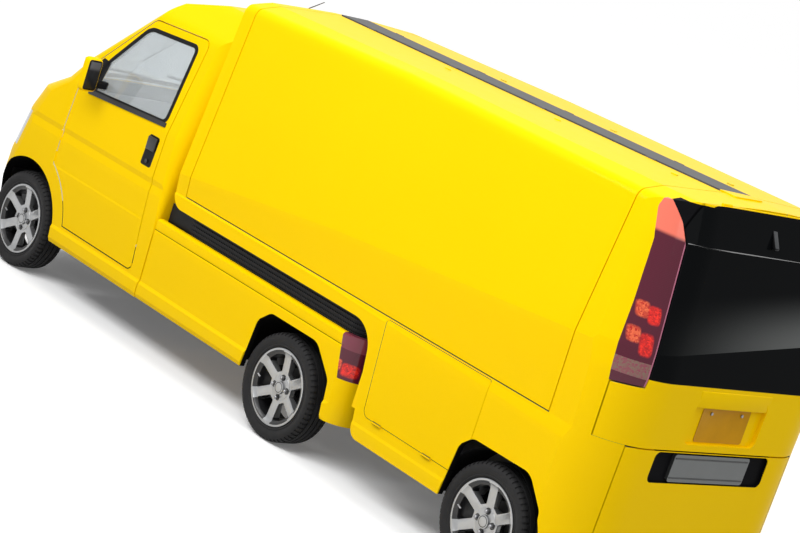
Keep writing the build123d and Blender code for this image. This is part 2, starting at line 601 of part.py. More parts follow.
mirror_head = plan_prism(MIRROR_HEAD, MIRROR_BOTTOM, MIRROR_TOP)
mirror_head = mirror_head + plan_prism(MIRROR_ARM, MIRROR_ARM_BOTTOM, MIRROR_ARM_TOP)
mirror_piece = mirror_head - cab_outer
mirror_piece = Compound([max(mirror_piece.solids(), key=lambda s: s.volume)])
keep_cab("mirror_left", mirror_piece)
keep_cab("mirror_right", mirrored(mirror_piece))


# Bed
def bed_plan(inset, z_from, z_to):
    """Bed plan with its rounded tail, drawn in by an even wall, open at the front."""
    half = HALF_WIDTH - inset
    corner = BED_TAIL_RADIUS - inset
    rows = ((BED_TAIL + inset, -half, corner), (BED_FRONT + inset, -half, 0),
            (BED_FRONT + inset, half, 0), (BED_TAIL + inset, half, corner))
    return plan_prism(rows, z_from, z_to)


bed_rows = BED_SECTION + tuple((-y, z, r) for y, z, r in reversed(BED_SECTION))
bed_outer = bed_plan(0.0, BED_BOTTOM, BED_RAIL) & end_prism(bed_rows)
bed_inner = bed_plan(BED_WALL, 0, FAR)
middle_arch = side_prism(MIDDLE_ARCH)
bed = bed_outer - (bed_inner & block(-FAR, FAR, -FAR, FAR, 0, DECK_BOTTOM))
bed = bed - (bed_inner & block(-FAR, FAR, -FAR, FAR, DECK_TOP, FAR))
bed = cut(bed, [middle_arch, rail_way])
lamp_zone = side_prism(BED_LAMP, BED_LAMP_IN, FAR)
bed_lamp = ((bed_outer & lamp_zone) - bed_inner) & block(-FAR, FAR, -FAR, FAR, BED_LAMP_BOTTOM, BED_RAIL)
bed = cut(bed, [bed_lamp, mirrored(bed_lamp)])
keep("bed_tub", bed)
keep("bed_tail_lamps", bed_lamp, mirrored(bed_lamp))

skirt_inset = HALF_WIDTH - SKIRT_FACE
groove = skirt_inset + SKIRT_RIB
skirt = bed_plan(groove, DECK_TOP, BOX_BASE) - bed_plan(skirt_inset + SKIRT_THICK, 0, FAR)
rib_pitch = (BOX_BASE - DECK_TOP) / SKIRT_RIBS
for i in range(SKIRT_RIBS):
    rib_base = DECK_TOP + rib_pitch * i
    rib = bed_plan(skirt_inset, rib_base + rib_pitch * RIB_START, rib_base + rib_pitch * RIB_END)
    rib = rib - bed_plan(groove, 0, FAR) - block(SKIRT_FRONT, FAR, -FAR, FAR, 0, FAR)
    skirt = skirt + rib
skirt = skirt - block(BED_FRONT - SKIRT_THICK, FAR, -FAR, FAR, 0, FAR)
keep("ribbed_skirt", skirt)


# Box
def box_body(inset):
    """Box as a full solid, drawn in by an even wall."""
    faces = []
    for along, band, crease, roof, shoulder in BOX_STATIONS:
        flank = HALF_WIDTH - inset - BOX_TUCK
        rows = [(0, BOX_FOOT, 0), (flank + BOX_SKIRT, BOX_FOOT, 0), (flank + BOX_SKIRT, BOX_SKIRT_LOW, 0),
                (flank, BOX_SKIRT_HIGH, 0), (flank + BOX_SKIRT / 2, band, 0), (flank - BOX_SHOULDER, WAIST, 0),
                (HALF_WIDTH - inset, crease, 0),
                (ROOF_CREASE_Y - inset, roof - inset * ROOF_SLOPE, ROOF_RADIUS),
                (ROOF_SHOULDER_Y, shoulder - inset, 0), (ROOF_FLAT, BOX_TOP - inset, 0), (0, BOX_TOP - inset, 0)]
        faces.append(Plane((along, 0, 0), x_dir=(0, 1, 0), z_dir=(1, 0, 0)) * outline(rows))
    half = loft(faces, ruled=True)
    open_side = [(x, z - 2 * inset if z == BOX_SILL else z, r) for x, z, r in BOX_SIDE]
    side = shrunk(open_side, inset) if inset else outline(BOX_SIDE)
    half = half & extrude(Plane((0, FAR, 0), x_dir=(1, 0, 0), z_dir=(0, -1, 0)) * side, amount=2 * FAR)
    levels = []
    for height, end, width, radius in BOX_LEVELS:
        rows = [(end + inset, -width + inset, radius - inset), (FAR, -width + inset, 0),
                (FAR, width - inset, 0), (end + inset, width - inset, radius - inset)]
        levels.append(Plane((0, 0, height)) * outline(rows))
    return half & loft(levels, ruled=True)


box_outer = box_body(0.0)
box_inner = box_body(BOX_WALL)
box_skin = box_outer - box_body(REAR_GLASS)
wall_full = box_outer - box_inner
floor_half = HALF_WIDTH - BOX_WALL - FLOOR_SIDE_GAP
wall = wall_full - block(FLOOR_CUT, FAR, -FAR, floor_half, 0, BOX_BASE + BOX_WALL + 1)
rear_arch = side_prism([(x - REAR_SPACING, z, r) for x, z, r in REAR_ARCH], 0, FAR)

front_zone = block(BOX_WALL_FRONT, FAR, -FAR, FAR, 0, FAR)
front_half = wall_full & front_zone
keep("box_front_wall", front_half + mirrored(front_half))
side_wall = wall - front_zone - block(-FAR, FAR, -FAR, SPINE_HALF, 0, FAR) - rear_arch

wing_hole = block(WING_REAR, FAR, SPINE_HALF, FAR, WAIST, FAR)
wing_zone = block(WING_REAR + SHUT_GAP, WING_FRONT - HINGE_GAP, WING_EDGE, FAR, WAIST + SHUT_GAP, FAR)
wing = wall & wing_zone
side_wall = side_wall - wing_hole
wing_pins = [(station, WING_AXIS_Y, BOX_TOP) for station in WING_BARRELS]
wing = wing + barrels(wing_pins, (1, 0, 0))
keep("wing_left", wing)
keep("wing_right", mirrored(wing))

spine = block(SPINE_REAR, BOX_WALL_FRONT, -SPINE_HALF, SPINE_HALF, BOX_TOP - SPINE_THICK, BOX_TOP + SPINE_RISE)
spine = spine + block(TAILGATE_TOP + SHUT_GAP, SPINE_REAR, -SPINE_HALF, SPINE_HALF, BOX_TOP - SPINE_THICK, BOX_TOP)
spine_sockets = barrels(wing_pins, (1, 0, 0), SEAT_GAP)
spine = cut(spine, [spine_sockets, mirrored(spine_sockets)])

gate_hole = side_prism(GATE, GATE_INNER_Y, FAR)
gate_slab = extrude(Plane((0, FAR, 0), x_dir=(1, 0, 0), z_dir=(0, -1, 0)) * shrunk(GATE, HINGE_GAP),
                    amount=FAR - GATE_INNER_Y)
gate = side_wall & gate_slab
gate_pins = [(station, GATE_AXIS_Y, GATE_BOTTOM) for station in GATE_BARRELS]
gate = gate + barrels(gate_pins, (1, 0, 0))
side_wall = cut(side_wall, [gate_hole, barrels(gate_pins, (1, 0, 0), SEAT_GAP)])
keep("side_gate_left", gate)
keep("side_gate_right", mirrored(gate))

# Tail lamps, tailgate and drop gate share the rounded rear corner
lamp_start = TAILGATE_SIDE + LAMP_AHEAD
lamp_rear_low = LAMP_BOTTOM + LAMP_RISE * LAMP_BEHIND
lamp_low = ((lamp_start, LAMP_BOTTOM - LAMP_RISE * LAMP_AHEAD, 0), (PAST_REAR, lamp_rear_low, 0),
            (PAST_REAR, FAR, 0), (lamp_start, FAR, 0))
lamp_back = LAMP_OUTER + ((PAST_REAR, LAMP_OUTER[-1][1], 0), (PAST_REAR, LAMP_OUTER[0][1], 0))
lamp_in = LAMP_EDGE + ((LAMP_SIDE, LAMP_HEAD, 0), (LAMP_SIDE, LAMP_FOOT, 0))
lamp_region = side_prism(lamp_low, 0, FAR) & side_prism(lamp_back, 0, FAR) & end_prism(lamp_in, -FAR, REAR_SLAB)
tail_lamp = side_wall & lamp_region
side_wall = side_wall - lamp_region

gate_low = ((TAILGATE_SIDE, TAILGATE_BOTTOM, 0), (PAST_REAR, TAILGATE_BOTTOM, 0),
            (PAST_REAR, lamp_rear_low - SHUT_GAP, 0), (TAILGATE_SIDE, LAMP_BOTTOM - SHUT_GAP, 0))
low_part = side_prism(gate_low, -FAR, FAR)
past_rows = [(PAST_MIDDLE, LAMP_HEAD, 0), (PAST_MIDDLE, LAMP_FOOT, 0)]
gate_front = TAILGATE_TOP - HINGE_GAP
high_part = end_prism([(y - SHUT_GAP, z, r) for y, z, r in LAMP_EDGE] + past_rows, -FAR, gate_front)
top_part = block(-FAR, gate_front, PAST_MIDDLE, TAILGATE_HEAD_HALF, TAILGATE_HEAD, FAR)
tailgate = wall_full & (low_part + high_part + top_part)
hole_front = TAILGATE_SIDE + SHUT_GAP
hole_low = WAIST - TAILGATE_STEP
tailgate_hole = side_prism(((hole_front, hole_low, 0), (PAST_REAR, hole_low, 0), (PAST_REAR, lamp_rear_low, 0),
                            (hole_front, LAMP_BOTTOM, 0)), -FAR, FAR)
side_wall = side_wall - tailgate_hole
side_wall = side_wall - block(-FAR, TAILGATE_TOP + HINGE_GAP, -FAR, TAILGATE_HEAD_ROOM, WAIST, FAR)
tailgate = tailgate + mirrored(tailgate)
glass_rows = [(y - SHUT_GAP - GLASS_MARGIN, z, r) for y, z, r in LAMP_EDGE] + past_rows
glass_zone = end_prism(glass_rows, -FAR, gate_front) & block(-FAR, FAR, -FAR, FAR, GLASS_BOTTOM, GLASS_TOP)
glass_half = box_skin & glass_zone
rear_glass = glass_half + mirrored(glass_half)
tailgate = tailgate - rear_glass - block(-FAR, FAR, -FAR, FAR, TAILGATE_AXIS_Z, FAR)
tailgate = tailgate - end_prism(REAR_WINDOW, -FAR, REAR_SLAB)
gate_pins = [(TAILGATE_TOP, y, TAILGATE_AXIS_Z) for y in TAILGATE_BARRELS]
tailgate = tailgate + barrels(gate_pins, (0, 1, 0))
tail_sockets = barrels(gate_pins, (0, 1, 0), SEAT_GAP)
side_wall = side_wall - tail_sockets
pocket = end_prism(PLATE_POCKET, -FAR, REAR_END + POCKET_DEEP)
tailgate = tailgate - pocket
for side in (1, -1):
    hole = (side * PLATE_HOLE_SPACING / 2, PLATE_HOLE_HEIGHT)
    tailgate = tailgate - rod((REAR_END, *hole), (REAR_SLAB, *hole), PLATE_HOLE_RADIUS)
keep("tailgate", tailgate)
keep("rear_glass", rear_glass)
keep("tail_lamps", tail_lamp, mirrored(tail_lamp))

drop_zone = block(-FAR, REAR_SLAB, -1, DROP_HALF, DROP_BOTTOM, DROP_TOP)
drop_half = wall_full & drop_zone
drop = drop_half + mirrored(drop_half)
drop_pins = [(DROP_AXIS_X, y, DROP_BOTTOM - HINGE_GAP) for y in DROP_BARRELS]
drop = drop + barrels(drop_pins, (0, 1, 0))
grip_pocket = end_prism(GRIP_POCKET, -FAR, REAR_END + GRIP_DEEP)
grip = box_outer & end_prism(GRIP, -FAR, REAR_END + GRIP_DEEP)
grip = grip + mirrored(grip)
drop = drop - grip_pocket
keep("drop_gate", drop)
keep("drop_gate_grip", grip)
side_wall = side_wall - block(-FAR, REAR_SLAB, -FAR, DROP_HALF + SHUT_GAP, DROP_BOTTOM - 2 * HINGE_GAP, WAIST)
side_wall = side_wall - barrels(drop_pins, (0, 1, 0), SEAT_GAP)
keep("roof_spine", spine)
keep("box_side_left", side_wall)
keep("box_side_right", mirrored(side_wall))

# Box floor: high over the bed, a step down behind it, wheel boxes over the rear axle
floor = block(STEP_FACE, BOX_WALL_FRONT, -floor_half, floor_half, BOX_BASE, BOX_BASE + FLOOR_THICK)
floor = floor + block(STEP_FACE - FLOOR_THICK, STEP_FACE, -floor_half, floor_half, RAIL_TOP, BOX_BASE + FLOOR_THICK)
low_rows = ((LOW_FLOOR_REAR, -floor_half, LOW_FLOOR_RADIUS), (STEP_FACE, -floor_half, 0),
            (STEP_FACE, floor_half, 0), (LOW_FLOOR_REAR, floor_half, LOW_FLOOR_RADIUS))
low_space = plan_prism(low_rows, RAIL_TOP, WHEEL_BOX_TOP)
floor = floor + plan_prism(low_rows, RAIL_TOP, RAIL_TOP + FLOOR_THICK)
for side in (1, -1):
    y_from, y_to = sorted((side * WHEEL_BOX_IN, side * floor_half))
    wheel_box = block(-REAR_SPACING - WHEEL_BOX_HALF, -REAR_SPACING + WHEEL_BOX_HALF, y_from, y_to,
                      RAIL_TOP, WHEEL_BOX_TOP)
    floor = floor + (wheel_box & low_space)
    y_from, y_to = sorted((side * (WHEEL_BOX_IN + WHEEL_BOX_WALL), side * FAR))
    inside = WHEEL_BOX_HALF - WHEEL_BOX_WALL
    floor = floor - block(-REAR_SPACING - inside, -REAR_SPACING + inside, y_from, y_to,
                          0, WHEEL_BOX_TOP - WHEEL_BOX_WALL)
    y_from, y_to = sorted((side * RAIL_IN, side * RAIL_OUT))
    floor = floor + block(STEP_FACE + RISER_BACK, SKIRT_FRONT, y_from, y_to, DECK_TOP, BOX_BASE)
keep("box_floor", floor)

os.makedirs("parts", exist_ok=True)
for name, shape in nodes.items():
    export_step(shape, f"parts/{name}.step")
    box = shape.bounding_box()
    print(name, len(shape.solids()), round(shape.volume / 1e6, 2), "litres",
          [round(v) for v in (*box.min, *box.max)])
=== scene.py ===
# %% [markdown]
# # A six-wheeled kei van, dressed over its solids
#
# The solids hold the van's shape at full size: cab, bed, box, wings, gates, doors and wheels. This lesson
# gives every surface its finish and adds the small pieces that a solid model leaves out, such as tread,
# wheel nuts, window seals, lamp bulbs and seat pads. Lengths are metres.
# +X is forward, +Y is left and +Z is up.

# %% Load the solids
import math
from contextlib import contextmanager

import bmesh
import bpy
from mathutils import Matrix, Quaternion, Vector


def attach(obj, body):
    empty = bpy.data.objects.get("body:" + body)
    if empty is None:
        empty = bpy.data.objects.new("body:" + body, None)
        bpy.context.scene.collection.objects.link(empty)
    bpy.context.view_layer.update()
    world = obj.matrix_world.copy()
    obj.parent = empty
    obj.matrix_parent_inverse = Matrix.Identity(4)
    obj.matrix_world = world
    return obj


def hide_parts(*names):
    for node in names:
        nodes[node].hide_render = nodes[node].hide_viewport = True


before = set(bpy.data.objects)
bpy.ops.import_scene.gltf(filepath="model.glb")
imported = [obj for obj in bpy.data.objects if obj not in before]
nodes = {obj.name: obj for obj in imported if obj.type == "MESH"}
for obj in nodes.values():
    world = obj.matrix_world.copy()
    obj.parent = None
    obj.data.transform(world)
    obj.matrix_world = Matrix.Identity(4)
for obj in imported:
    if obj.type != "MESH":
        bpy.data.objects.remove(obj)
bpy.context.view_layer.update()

# %% [markdown]
# ## Camera, floor and light
#
# The picture was taken from behind the left rear corner with a long lens and a rolled camera. The lens,
# place and turn below repeat that view. The light is a studio: one long soft box on the left, a small one
# behind, an even light from above and a pale world. The floor is plain and keeps the van's shadow.

# %% Camera
CAMERA_PLACE = (-8.8395, 8.4712, 3.3159)
CAMERA_TURN = Quaternion((0.407784, 0.149368, -0.616178, -0.657059))
CAMERA_LENS = 110.07

bpy.ops.object.camera_add(location=CAMERA_PLACE)
camera = bpy.context.object
camera.rotation_mode = "QUATERNION"
camera.rotation_quaternion = CAMERA_TURN
camera.data.lens = CAMERA_LENS
camera.data.clip_end = 200.0
bpy.context.scene.camera = camera
bpy.context.scene.view_settings.view_transform = "Standard"
print("camera at", CAMERA_PLACE)

# %% [markdown]
# ## A small kit for finishes
#
# A finish is a Principled shader with a few nodes in front of it. `Value` wraps a socket so that masks
# can be written as plain arithmetic, and `Finish.node` makes any other node from its type, settings and
# inputs. Patterns read Object coordinates, so they stay on the piece when it moves.


# %% Values and finishes
class Value:
    """A shader socket that takes part in Python arithmetic."""

    def __init__(self, finish, socket):
        self.finish = finish
        self.socket = socket

    def maths(self, operation, first, second):
        return self.finish.node("ShaderNodeMath", {"operation": operation}, {0: first, 1: second})

    def __add__(self, other):
        return self.maths("ADD", self, other)

    def __sub__(self, other):
        return self.maths("SUBTRACT", self, other)

    def __rsub__(self, other):
        return self.maths("SUBTRACT", other, self)

    def __mul__(self, other):
        return self.maths("MULTIPLY", self, other)

    def __gt__(self, other):
        return self.maths("GREATER_THAN", self, other)

    def __lt__(self, other):
        return self.maths("LESS_THAN", self, other)

    __radd__ = __add__
    __rmul__ = __mul__


class Finish:
    """One material: a Principled shader and the nodes that feed it."""

    def __init__(self, name, colour, **constants):
        self.material = bpy.data.materials.new(name)
        self.material.use_nodes = True
        self.tree = self.material.node_tree
        self.shader = self.tree.nodes["Principled BSDF"]
        self.colour = (*colour, 1.0)
        self.shader.inputs["Base Color"].default_value = self.colour
        for socket, value in constants.items():
            self.shader.inputs[socket.replace("_", " ")].default_value = value

    def link(self, socket, value):
        if isinstance(value, Value):
            self.tree.links.new(value.socket, socket)
        else:
            socket.default_value = value

    def node(self, kind, settings=None, inputs=None, output=0):
        made = self.tree.nodes.new(kind)
        for key, value in (settings or {}).items():
            setattr(made, key, value)
        for key, value in (inputs or {}).items():
            self.link(made.inputs[key], value)
        return Value(self, made.outputs[output])

    def feed(self, socket, value):
        self.link(self.shader.inputs[socket], value)

    def split(self, vector):
        parts = self.tree.nodes.new("ShaderNodeSeparateXYZ")
        self.link(parts.inputs[0], vector)
        return [Value(self, out) for out in parts.outputs]

    def place(self):
        return self.node("ShaderNodeTexCoord", output="Object")

    def facing(self):
        return self.split(self.node("ShaderNodeTexCoord", output="Normal"))

    def noise(self, scale, detail=3.0):
        inputs = {"Vector": self.place(), "Scale": scale, "Detail": detail}
        return self.node("ShaderNodeTexNoise", None, inputs)

    def mix(self, mask, below, above):
        inputs = {0: mask, 6: below, 7: above}
        return self.node("ShaderNodeMix", {"data_type": "RGBA"}, inputs, output=2)

    def soft(self, value, start, end):
        """Zero before start, one after end, and smooth between."""
        inputs = {"Value": value, "From Min": start, "From Max": end}
        return self.node("ShaderNodeMapRange", {"interpolation_type": "SMOOTHSTEP"}, inputs)

    def size(self, value):
        return self.node("ShaderNodeMath", {"operation": "ABSOLUTE"}, {0: value})

    def bump(self, height, distance, strength=1.0):
        inputs = {"Height": height, "Distance": distance, "Strength": strength}
        self.feed("Normal", self.node("ShaderNodeBump", None, inputs))

    def shade(self, amount, scale, detail=3.0, colour=None):
        """Colour that wanders a little lighter and darker."""
        base = self.colour if colour is None else colour
        dark = tuple(c * (1 - amount) for c in base[:3]) + (1.0,)
        return self.mix(self.noise(scale, detail), dark, base)

    def gloss(self, scale, spread, least):
        """Roughness that wanders up from its least value."""
        self.feed("Roughness", self.noise(scale) * spread + least)

    def grain(self, scale, detail, depth, strength):
        """A fine, uneven surface."""
        self.bump(self.noise(scale, detail), depth, strength)

    def wave(self, direction, scale):
        """Even ribs across one direction."""
        inputs = {"Vector": self.place(), "Scale": scale}
        return self.node("ShaderNodeTexWave", {"bands_direction": direction}, inputs)

    def fed(self, socket):
        """What feeds a socket of the shader so far."""
        return Value(self, self.shader.inputs[socket].links[0].from_socket)


def dress(finish, *names):
    """Give solids a finish."""
    for name in names:
        nodes[name].data.materials.clear()
        nodes[name].data.materials.append(finish.material)


SIDES = ("left", "right")


def sided(stem):
    return [f"{stem}_{side}" for side in SIDES]


AXLES = ("front", "middle", "rear")
STATION_SHIFT = -0.4015
FRONT_AXLE = 2.420 + STATION_SHIFT
MIDDLE_AXLE = STATION_SHIFT
REAR_AXLE = -1.530 + STATION_SHIFT
AXLE_X = {"front": FRONT_AXLE, "middle": MIDDLE_AXLE, "rear": REAR_AXLE}
HUB_HEIGHT = 0.2685
WHEEL_Y = {"left": 0.6325, "right": -0.6325}
print("axles at", AXLE_X)

# %% Floor, world and lamps
FLOOR_SIZE = 120.0
FLOOR_GLOW = 0.12
SOFT_BOXES = (
    # name, place, aim, width, length, power
    ("left_key", (-0.6, 5.1, 5.5), (-0.3, 0.3, 1.0), 8.0, 2.5, 450.0),
    ("behind", (-8.0, 1.5, 5.0), (-2.0, 0.0, 1.0), 5.0, 3.0, 90.0),
)
SUN_STRENGTH = 1.75
SUN_SPREAD = 70.0
SUN_TURN = (math.radians(20), math.radians(-8), 0.0)
WORLD_LIGHT = 0.36
SEEN_RAYS = ("Is Camera Ray", "Is Glossy Ray", "Is Transmission Ray")

bpy.ops.mesh.primitive_plane_add(size=FLOOR_SIZE)
floor = bpy.context.object
floor.name = "studio_floor"
floor_finish = Finish("pale_floor", (0.40, 0.40, 0.40), Roughness=0.8, Specular_IOR_Level=0.0,
                      Emission_Strength=FLOOR_GLOW)
straight, mirrored, through = [floor_finish.node("ShaderNodeLightPath", output=kind) for kind in SEEN_RAYS]
seen = straight + mirrored + through
floor_finish.feed("Base Color", floor_finish.mix(seen, floor_finish.shade(0.02, 0.7), (1.0, 1.0, 1.0, 1.0)))
floor_finish.feed("Emission Color", floor_finish.mix(seen, (0.0, 0.0, 0.0, 1.0), (1.0, 1.0, 1.0, 1.0)))
floor.data.materials.append(floor_finish.material)

world = bpy.context.scene.world or bpy.data.worlds.new("studio")
bpy.context.scene.world = world
world.use_nodes = True
sky = world.node_tree
ground = sky.nodes["Background"]
ground.inputs["Color"].default_value = (1.0, 1.0, 1.0, 1.0)
path = sky.nodes.new("ShaderNodeLightPath")
level = sky.nodes.new("ShaderNodeMapRange")
level.inputs["To Min"].default_value = WORLD_LIGHT
level.inputs["To Max"].default_value = 1.0
total = path.outputs[SEEN_RAYS[0]]
for kind in SEEN_RAYS[1:]:
    added = sky.nodes.new("ShaderNodeMath")
    sky.links.new(total, added.inputs[0])
    sky.links.new(path.outputs[kind], added.inputs[1])
    total = added.outputs[0]
sky.links.new(total, level.inputs["Value"])
sky.links.new(level.outputs[0], ground.inputs["Strength"])

for name, place, aim, width, length, power in SOFT_BOXES:
    bpy.ops.object.light_add(type="AREA", location=place)
    lamp = bpy.context.object
    lamp.name = f"soft_box_{name}"
    lamp.data.shape = "RECTANGLE"
    lamp.data.size = width
    lamp.data.size_y = length
    lamp.data.energy = power
    lamp.rotation_euler = (Vector(aim) - Vector(place)).to_track_quat("-Z", "Y").to_euler()
bpy.ops.object.light_add(type="SUN", location=(0.0, 0.0, 8.0), rotation=SUN_TURN)
even_light = bpy.context.object
even_light.name = "even_light"
even_light.data.energy = SUN_STRENGTH
even_light.data.angle = math.radians(SUN_SPREAD)
print("soft boxes:", len(SOFT_BOXES))

# %% [markdown]
# ## Yellow paint
#
# The body is yellow enamel under clear lacquer. A thin coat layer gives the sharp reflection, a very
# fine bump gives the slight ripple of sprayed paint, and blotches low on the sills are a little darker.
# The same solids also show their inner faces, their wheel wells and their undersides, so masks made from
# position and direction turn those faces to carpet, black underseal or grey lining.

# %% Paint
YELLOW = (0.95, 0.61, 0.0)
LINING = (0.72, 0.73, 0.72, 1.0)
UNDERSEAL = (0.005, 0.005, 0.0055, 1.0)
BOX_LINING = (0.13, 0.13, 0.13, 1.0)
SEAM = (0.10, 0.06, 0.0, 1.0)
SILL_DARKENING = (0.60, 0.42, 0.06, 1.0)
CARPET = (0.035, 0.035, 0.037, 1.0)
STRIP_GREY = (0.105, 0.105, 0.104)
GLOSS_BLACK = (0.006, 0.006, 0.007, 1.0)
LACQUER = 0.08
PAINT_RIPPLE = 0.000024
SILL_DARKENING_FADE = (0.24, 0.42)
SILL_DARKENING_AMOUNT = 0.15
INSIDE_DEPTH = -0.04
CARPET_TOP = 0.50
UNDER_SLOPE = -0.6
UNDER_TOP = 0.62
WELL_FACE = 0.729
CREASE_HALF = 0.007
CREASE_STEP = 0.004


def paint(name, hollow=None, wells=(), skin=None, lining=LINING, crease=None):
    """Enamel, with lining where a face looks towards the hollow and underseal in the wheel wells."""
    made = Finish(name, YELLOW, Coat_Roughness=0.03, Coat_IOR=1.36, Specular_IOR_Level=0.01)
    x, y, z = made.split(made.place())
    nx, ny, nz = made.facing()
    colour = made.shade(0.05, 1.3)
    # Darker, browner blotches low on the sills, fading out upwards.
    sill_darkening = (1 - made.soft(z, *SILL_DARKENING_FADE)) * made.noise(9.0, 6.0) * SILL_DARKENING_AMOUNT
    colour = made.mix(sill_darkening, colour, SILL_DARKENING)
    rough = made.noise(14.0) * 0.06 + 0.30
    bare = []
    if hollow:
        away = nx * (x - hollow[0]) * hollow[3] + ny * (y - hollow[1]) + nz * (z - hollow[2])
        inside = away < INSIDE_DEPTH
        if skin is not None:
            inside = inside * (x > skin)
        colour = made.mix(inside, colour, made.mix(z < CARPET_TOP, lining, CARPET))
        bare.append(inside)
    for centre, radius, inner in wells:
        out = made.size(y)
        reach = (x - centre) * (x - centre) + (z - HUB_HEIGHT) * (z - HUB_HEIGHT)
        well = (reach < radius * radius) * (out < WELL_FACE) * (out > inner)
        colour = made.mix(well, colour, UNDERSEAL)
        bare.append(well)
    under = (nz < UNDER_SLOPE) * (z < UNDER_TOP)
    colour = made.mix(under, colour, UNDERSEAL)
    bare.append(under)
    plain = sum(bare[1:], bare[0])
    made.feed("Base Color", colour)
    made.feed("Roughness", rough + plain * 0.3)
    made.feed("Coat Weight", LACQUER - made.soft(plain, 0.0, 0.5) * LACQUER)
    ripple = made.noise(420.0, 2.0) * PAINT_RIPPLE
    if crease is not None:
        ripple = ripple + (1 - made.soft(z, crease - CREASE_HALF, crease + CREASE_HALF)) * CREASE_STEP
    made.bump(ripple, 1.0)
    return made


def marked(made, test, colour):
    """Another colour, without lacquer, where a test of x, distance from the middle and height says so."""
    x, y, z = made.split(made.place())
    mask = test(x, made.size(y), z)
    below = made.fed("Base Color")
    lacquer = made.fed("Coat Weight")
    made.feed("Base Color", made.mix(mask, below, colour))
    made.feed("Coat Weight", lacquer * (1 - mask))


print("paint mixed")

# %% Paint of cab, doors, bed and box
# A hollow is its middle and how much the distance along the van counts.
CAB_HOLLOW = (1.35, 0.0, 1.10, 1.0)
DOOR_HOLLOW = (1.35, 0.0, 1.0, 0.0)
BOX_HOLLOW = (-0.6, 0.0, 1.32, 0.0)
TAIL_HOLLOW = (-1.4, 0.0, 1.15, 1.0)
# A wheel well is its middle, its radius and its inner side.
FRONT_WELLS = ((FRONT_AXLE, 0.3475, 0.36),)
MIDDLE_WELLS = ((MIDDLE_AXLE, 0.36, 0.30),)
REAR_WELLS = ((REAR_AXLE, 0.36, 0.30),)
DOOR_CREASE = 0.650
BED_SIDE = 0.715
BED_SEAM = (0.6383, 0.6418)
STRIP_HALF = 0.112
STRIP_LOW = 1.9504
HEADER_X = -2.256
HEADER_HALF = 0.590
HEADER_HEIGHT = (1.70, 1.926)


def on_bed_seam(x, across, z):
    return (across > BED_SIDE) * (z > BED_SEAM[0]) * (z < BED_SEAM[1])


def on_strip(x, across, z):
    return (z > STRIP_LOW) * (across < STRIP_HALF)


def on_header(x, across, z):
    return (x < HEADER_X) * (across < HEADER_HALF) * (z > HEADER_HEIGHT[0]) * (z < HEADER_HEIGHT[1])


cab_paint = paint("cab_yellow", CAB_HOLLOW, FRONT_WELLS)
door_paint = paint("door_yellow", DOOR_HOLLOW, crease=DOOR_CREASE)
bed_paint = paint("bed_yellow", None, MIDDLE_WELLS)
marked(bed_paint, on_bed_seam, SEAM)
box_paint = paint("box_yellow", BOX_HOLLOW, REAR_WELLS, lining=BOX_LINING)
wing_paint = paint("wing_yellow", BOX_HOLLOW, lining=BOX_LINING)
marked(wing_paint, on_strip, (*STRIP_GREY, 1.0))
corner_paint = paint("corner_yellow", BOX_HOLLOW, REAR_WELLS, lining=BOX_LINING)
marked(corner_paint, on_header, GLOSS_BLACK)
dress(cab_paint, "cab_shell", "front_bumper")
dress(door_paint, *sided("door"))
dress(bed_paint, "bed_tub")
dress(box_paint, *sided("side_gate"), "box_front_wall")
dress(wing_paint, *sided("wing"))
dress(corner_paint, *sided("box_side"))
print("painted: cab, doors, bed, box, wings and corners")

# %% Paint of the two rear gates and the roof spine
GLASS_LINE = 1.171
GATE_SKIN = -2.455
HINGE_TOP = (-2.356, 1.928)
# Half width, lowest and highest of the well behind the grip.
GRIP_WELL = (0.398, 0.708, 0.862)
WELL_DEPTH = (-2.4728, -2.44)
STRIP_END = -2.098
STRIP_SLANT = 0.17


def over_glass(x, across, z):
    return (z > GLASS_LINE) * (1 - (z > HINGE_TOP[1]) * (x > HINGE_TOP[0]))


def in_grip_well(x, across, z):
    in_face = (across < GRIP_WELL[0]) * (z > GRIP_WELL[1]) * (z < GRIP_WELL[2])
    return in_face * (x > WELL_DEPTH[0]) * (x < WELL_DEPTH[1])


tailgate_paint = paint("tailgate_yellow", TAIL_HOLLOW, skin=GATE_SKIN, lining=BOX_LINING)
marked(tailgate_paint, over_glass, GLOSS_BLACK)
drop_paint = paint("drop_gate_yellow", TAIL_HOLLOW, skin=GATE_SKIN, lining=BOX_LINING)
marked(drop_paint, in_grip_well, GLOSS_BLACK)
spine_paint = paint("spine_yellow")
spine_x, spine_y, _ = spine_paint.split(spine_paint.place())
strip = (spine_x - spine_y * STRIP_SLANT) > STRIP_END
strip_colour = spine_paint.shade(0.12, 25.0, colour=(*STRIP_GREY, 1.0))
spine_paint.feed("Base Color", spine_paint.mix(strip, spine_paint.fed("Base Color"), strip_colour))
spine_paint.feed("Coat Weight", LACQUER - strip * LACQUER)
dress(tailgate_paint, "tailgate")
dress(drop_paint, "drop_gate")
dress(spine_paint, "roof_spine")
print("rear gates and roof strip painted")

# %% [markdown]
# ## Trim, glass, lamps and running gear
#
# Black trim is moulded plastic with a fine grain, the roof strip and the grip are satin grey, the cab
# glass is clear with a slight green, and the rear glass is so dark that it reads as black, apart from
# painted light low in it. Lamp lenses are coloured by height: the tall rear lamps run from a clear
# reversing band through plum red to coral at the top.

# %% Trim and glass
RIB_SLOPE = 0.45
RIB_HIGHLIGHT = (0.050, 0.052, 0.055, 1.0)
PANE_BORDER = 1.347
PANE_SLANT = 0.116
PANE_FADE = 0.26
PANE_SIDES = (-0.50, 0.62)
PANE_PAINTED_GLOW = (0.125, 0.130, 0.128, 1.0)

black_trim = Finish("black_trim", (0.013, 0.013, 0.014), Specular_IOR_Level=0.45)
black_trim.feed("Base Color", black_trim.shade(0.25, 60.0))
black_trim.gloss(30.0, 0.12, 0.36)
black_trim.grain(900.0, 2.0, 0.0004, 0.3)

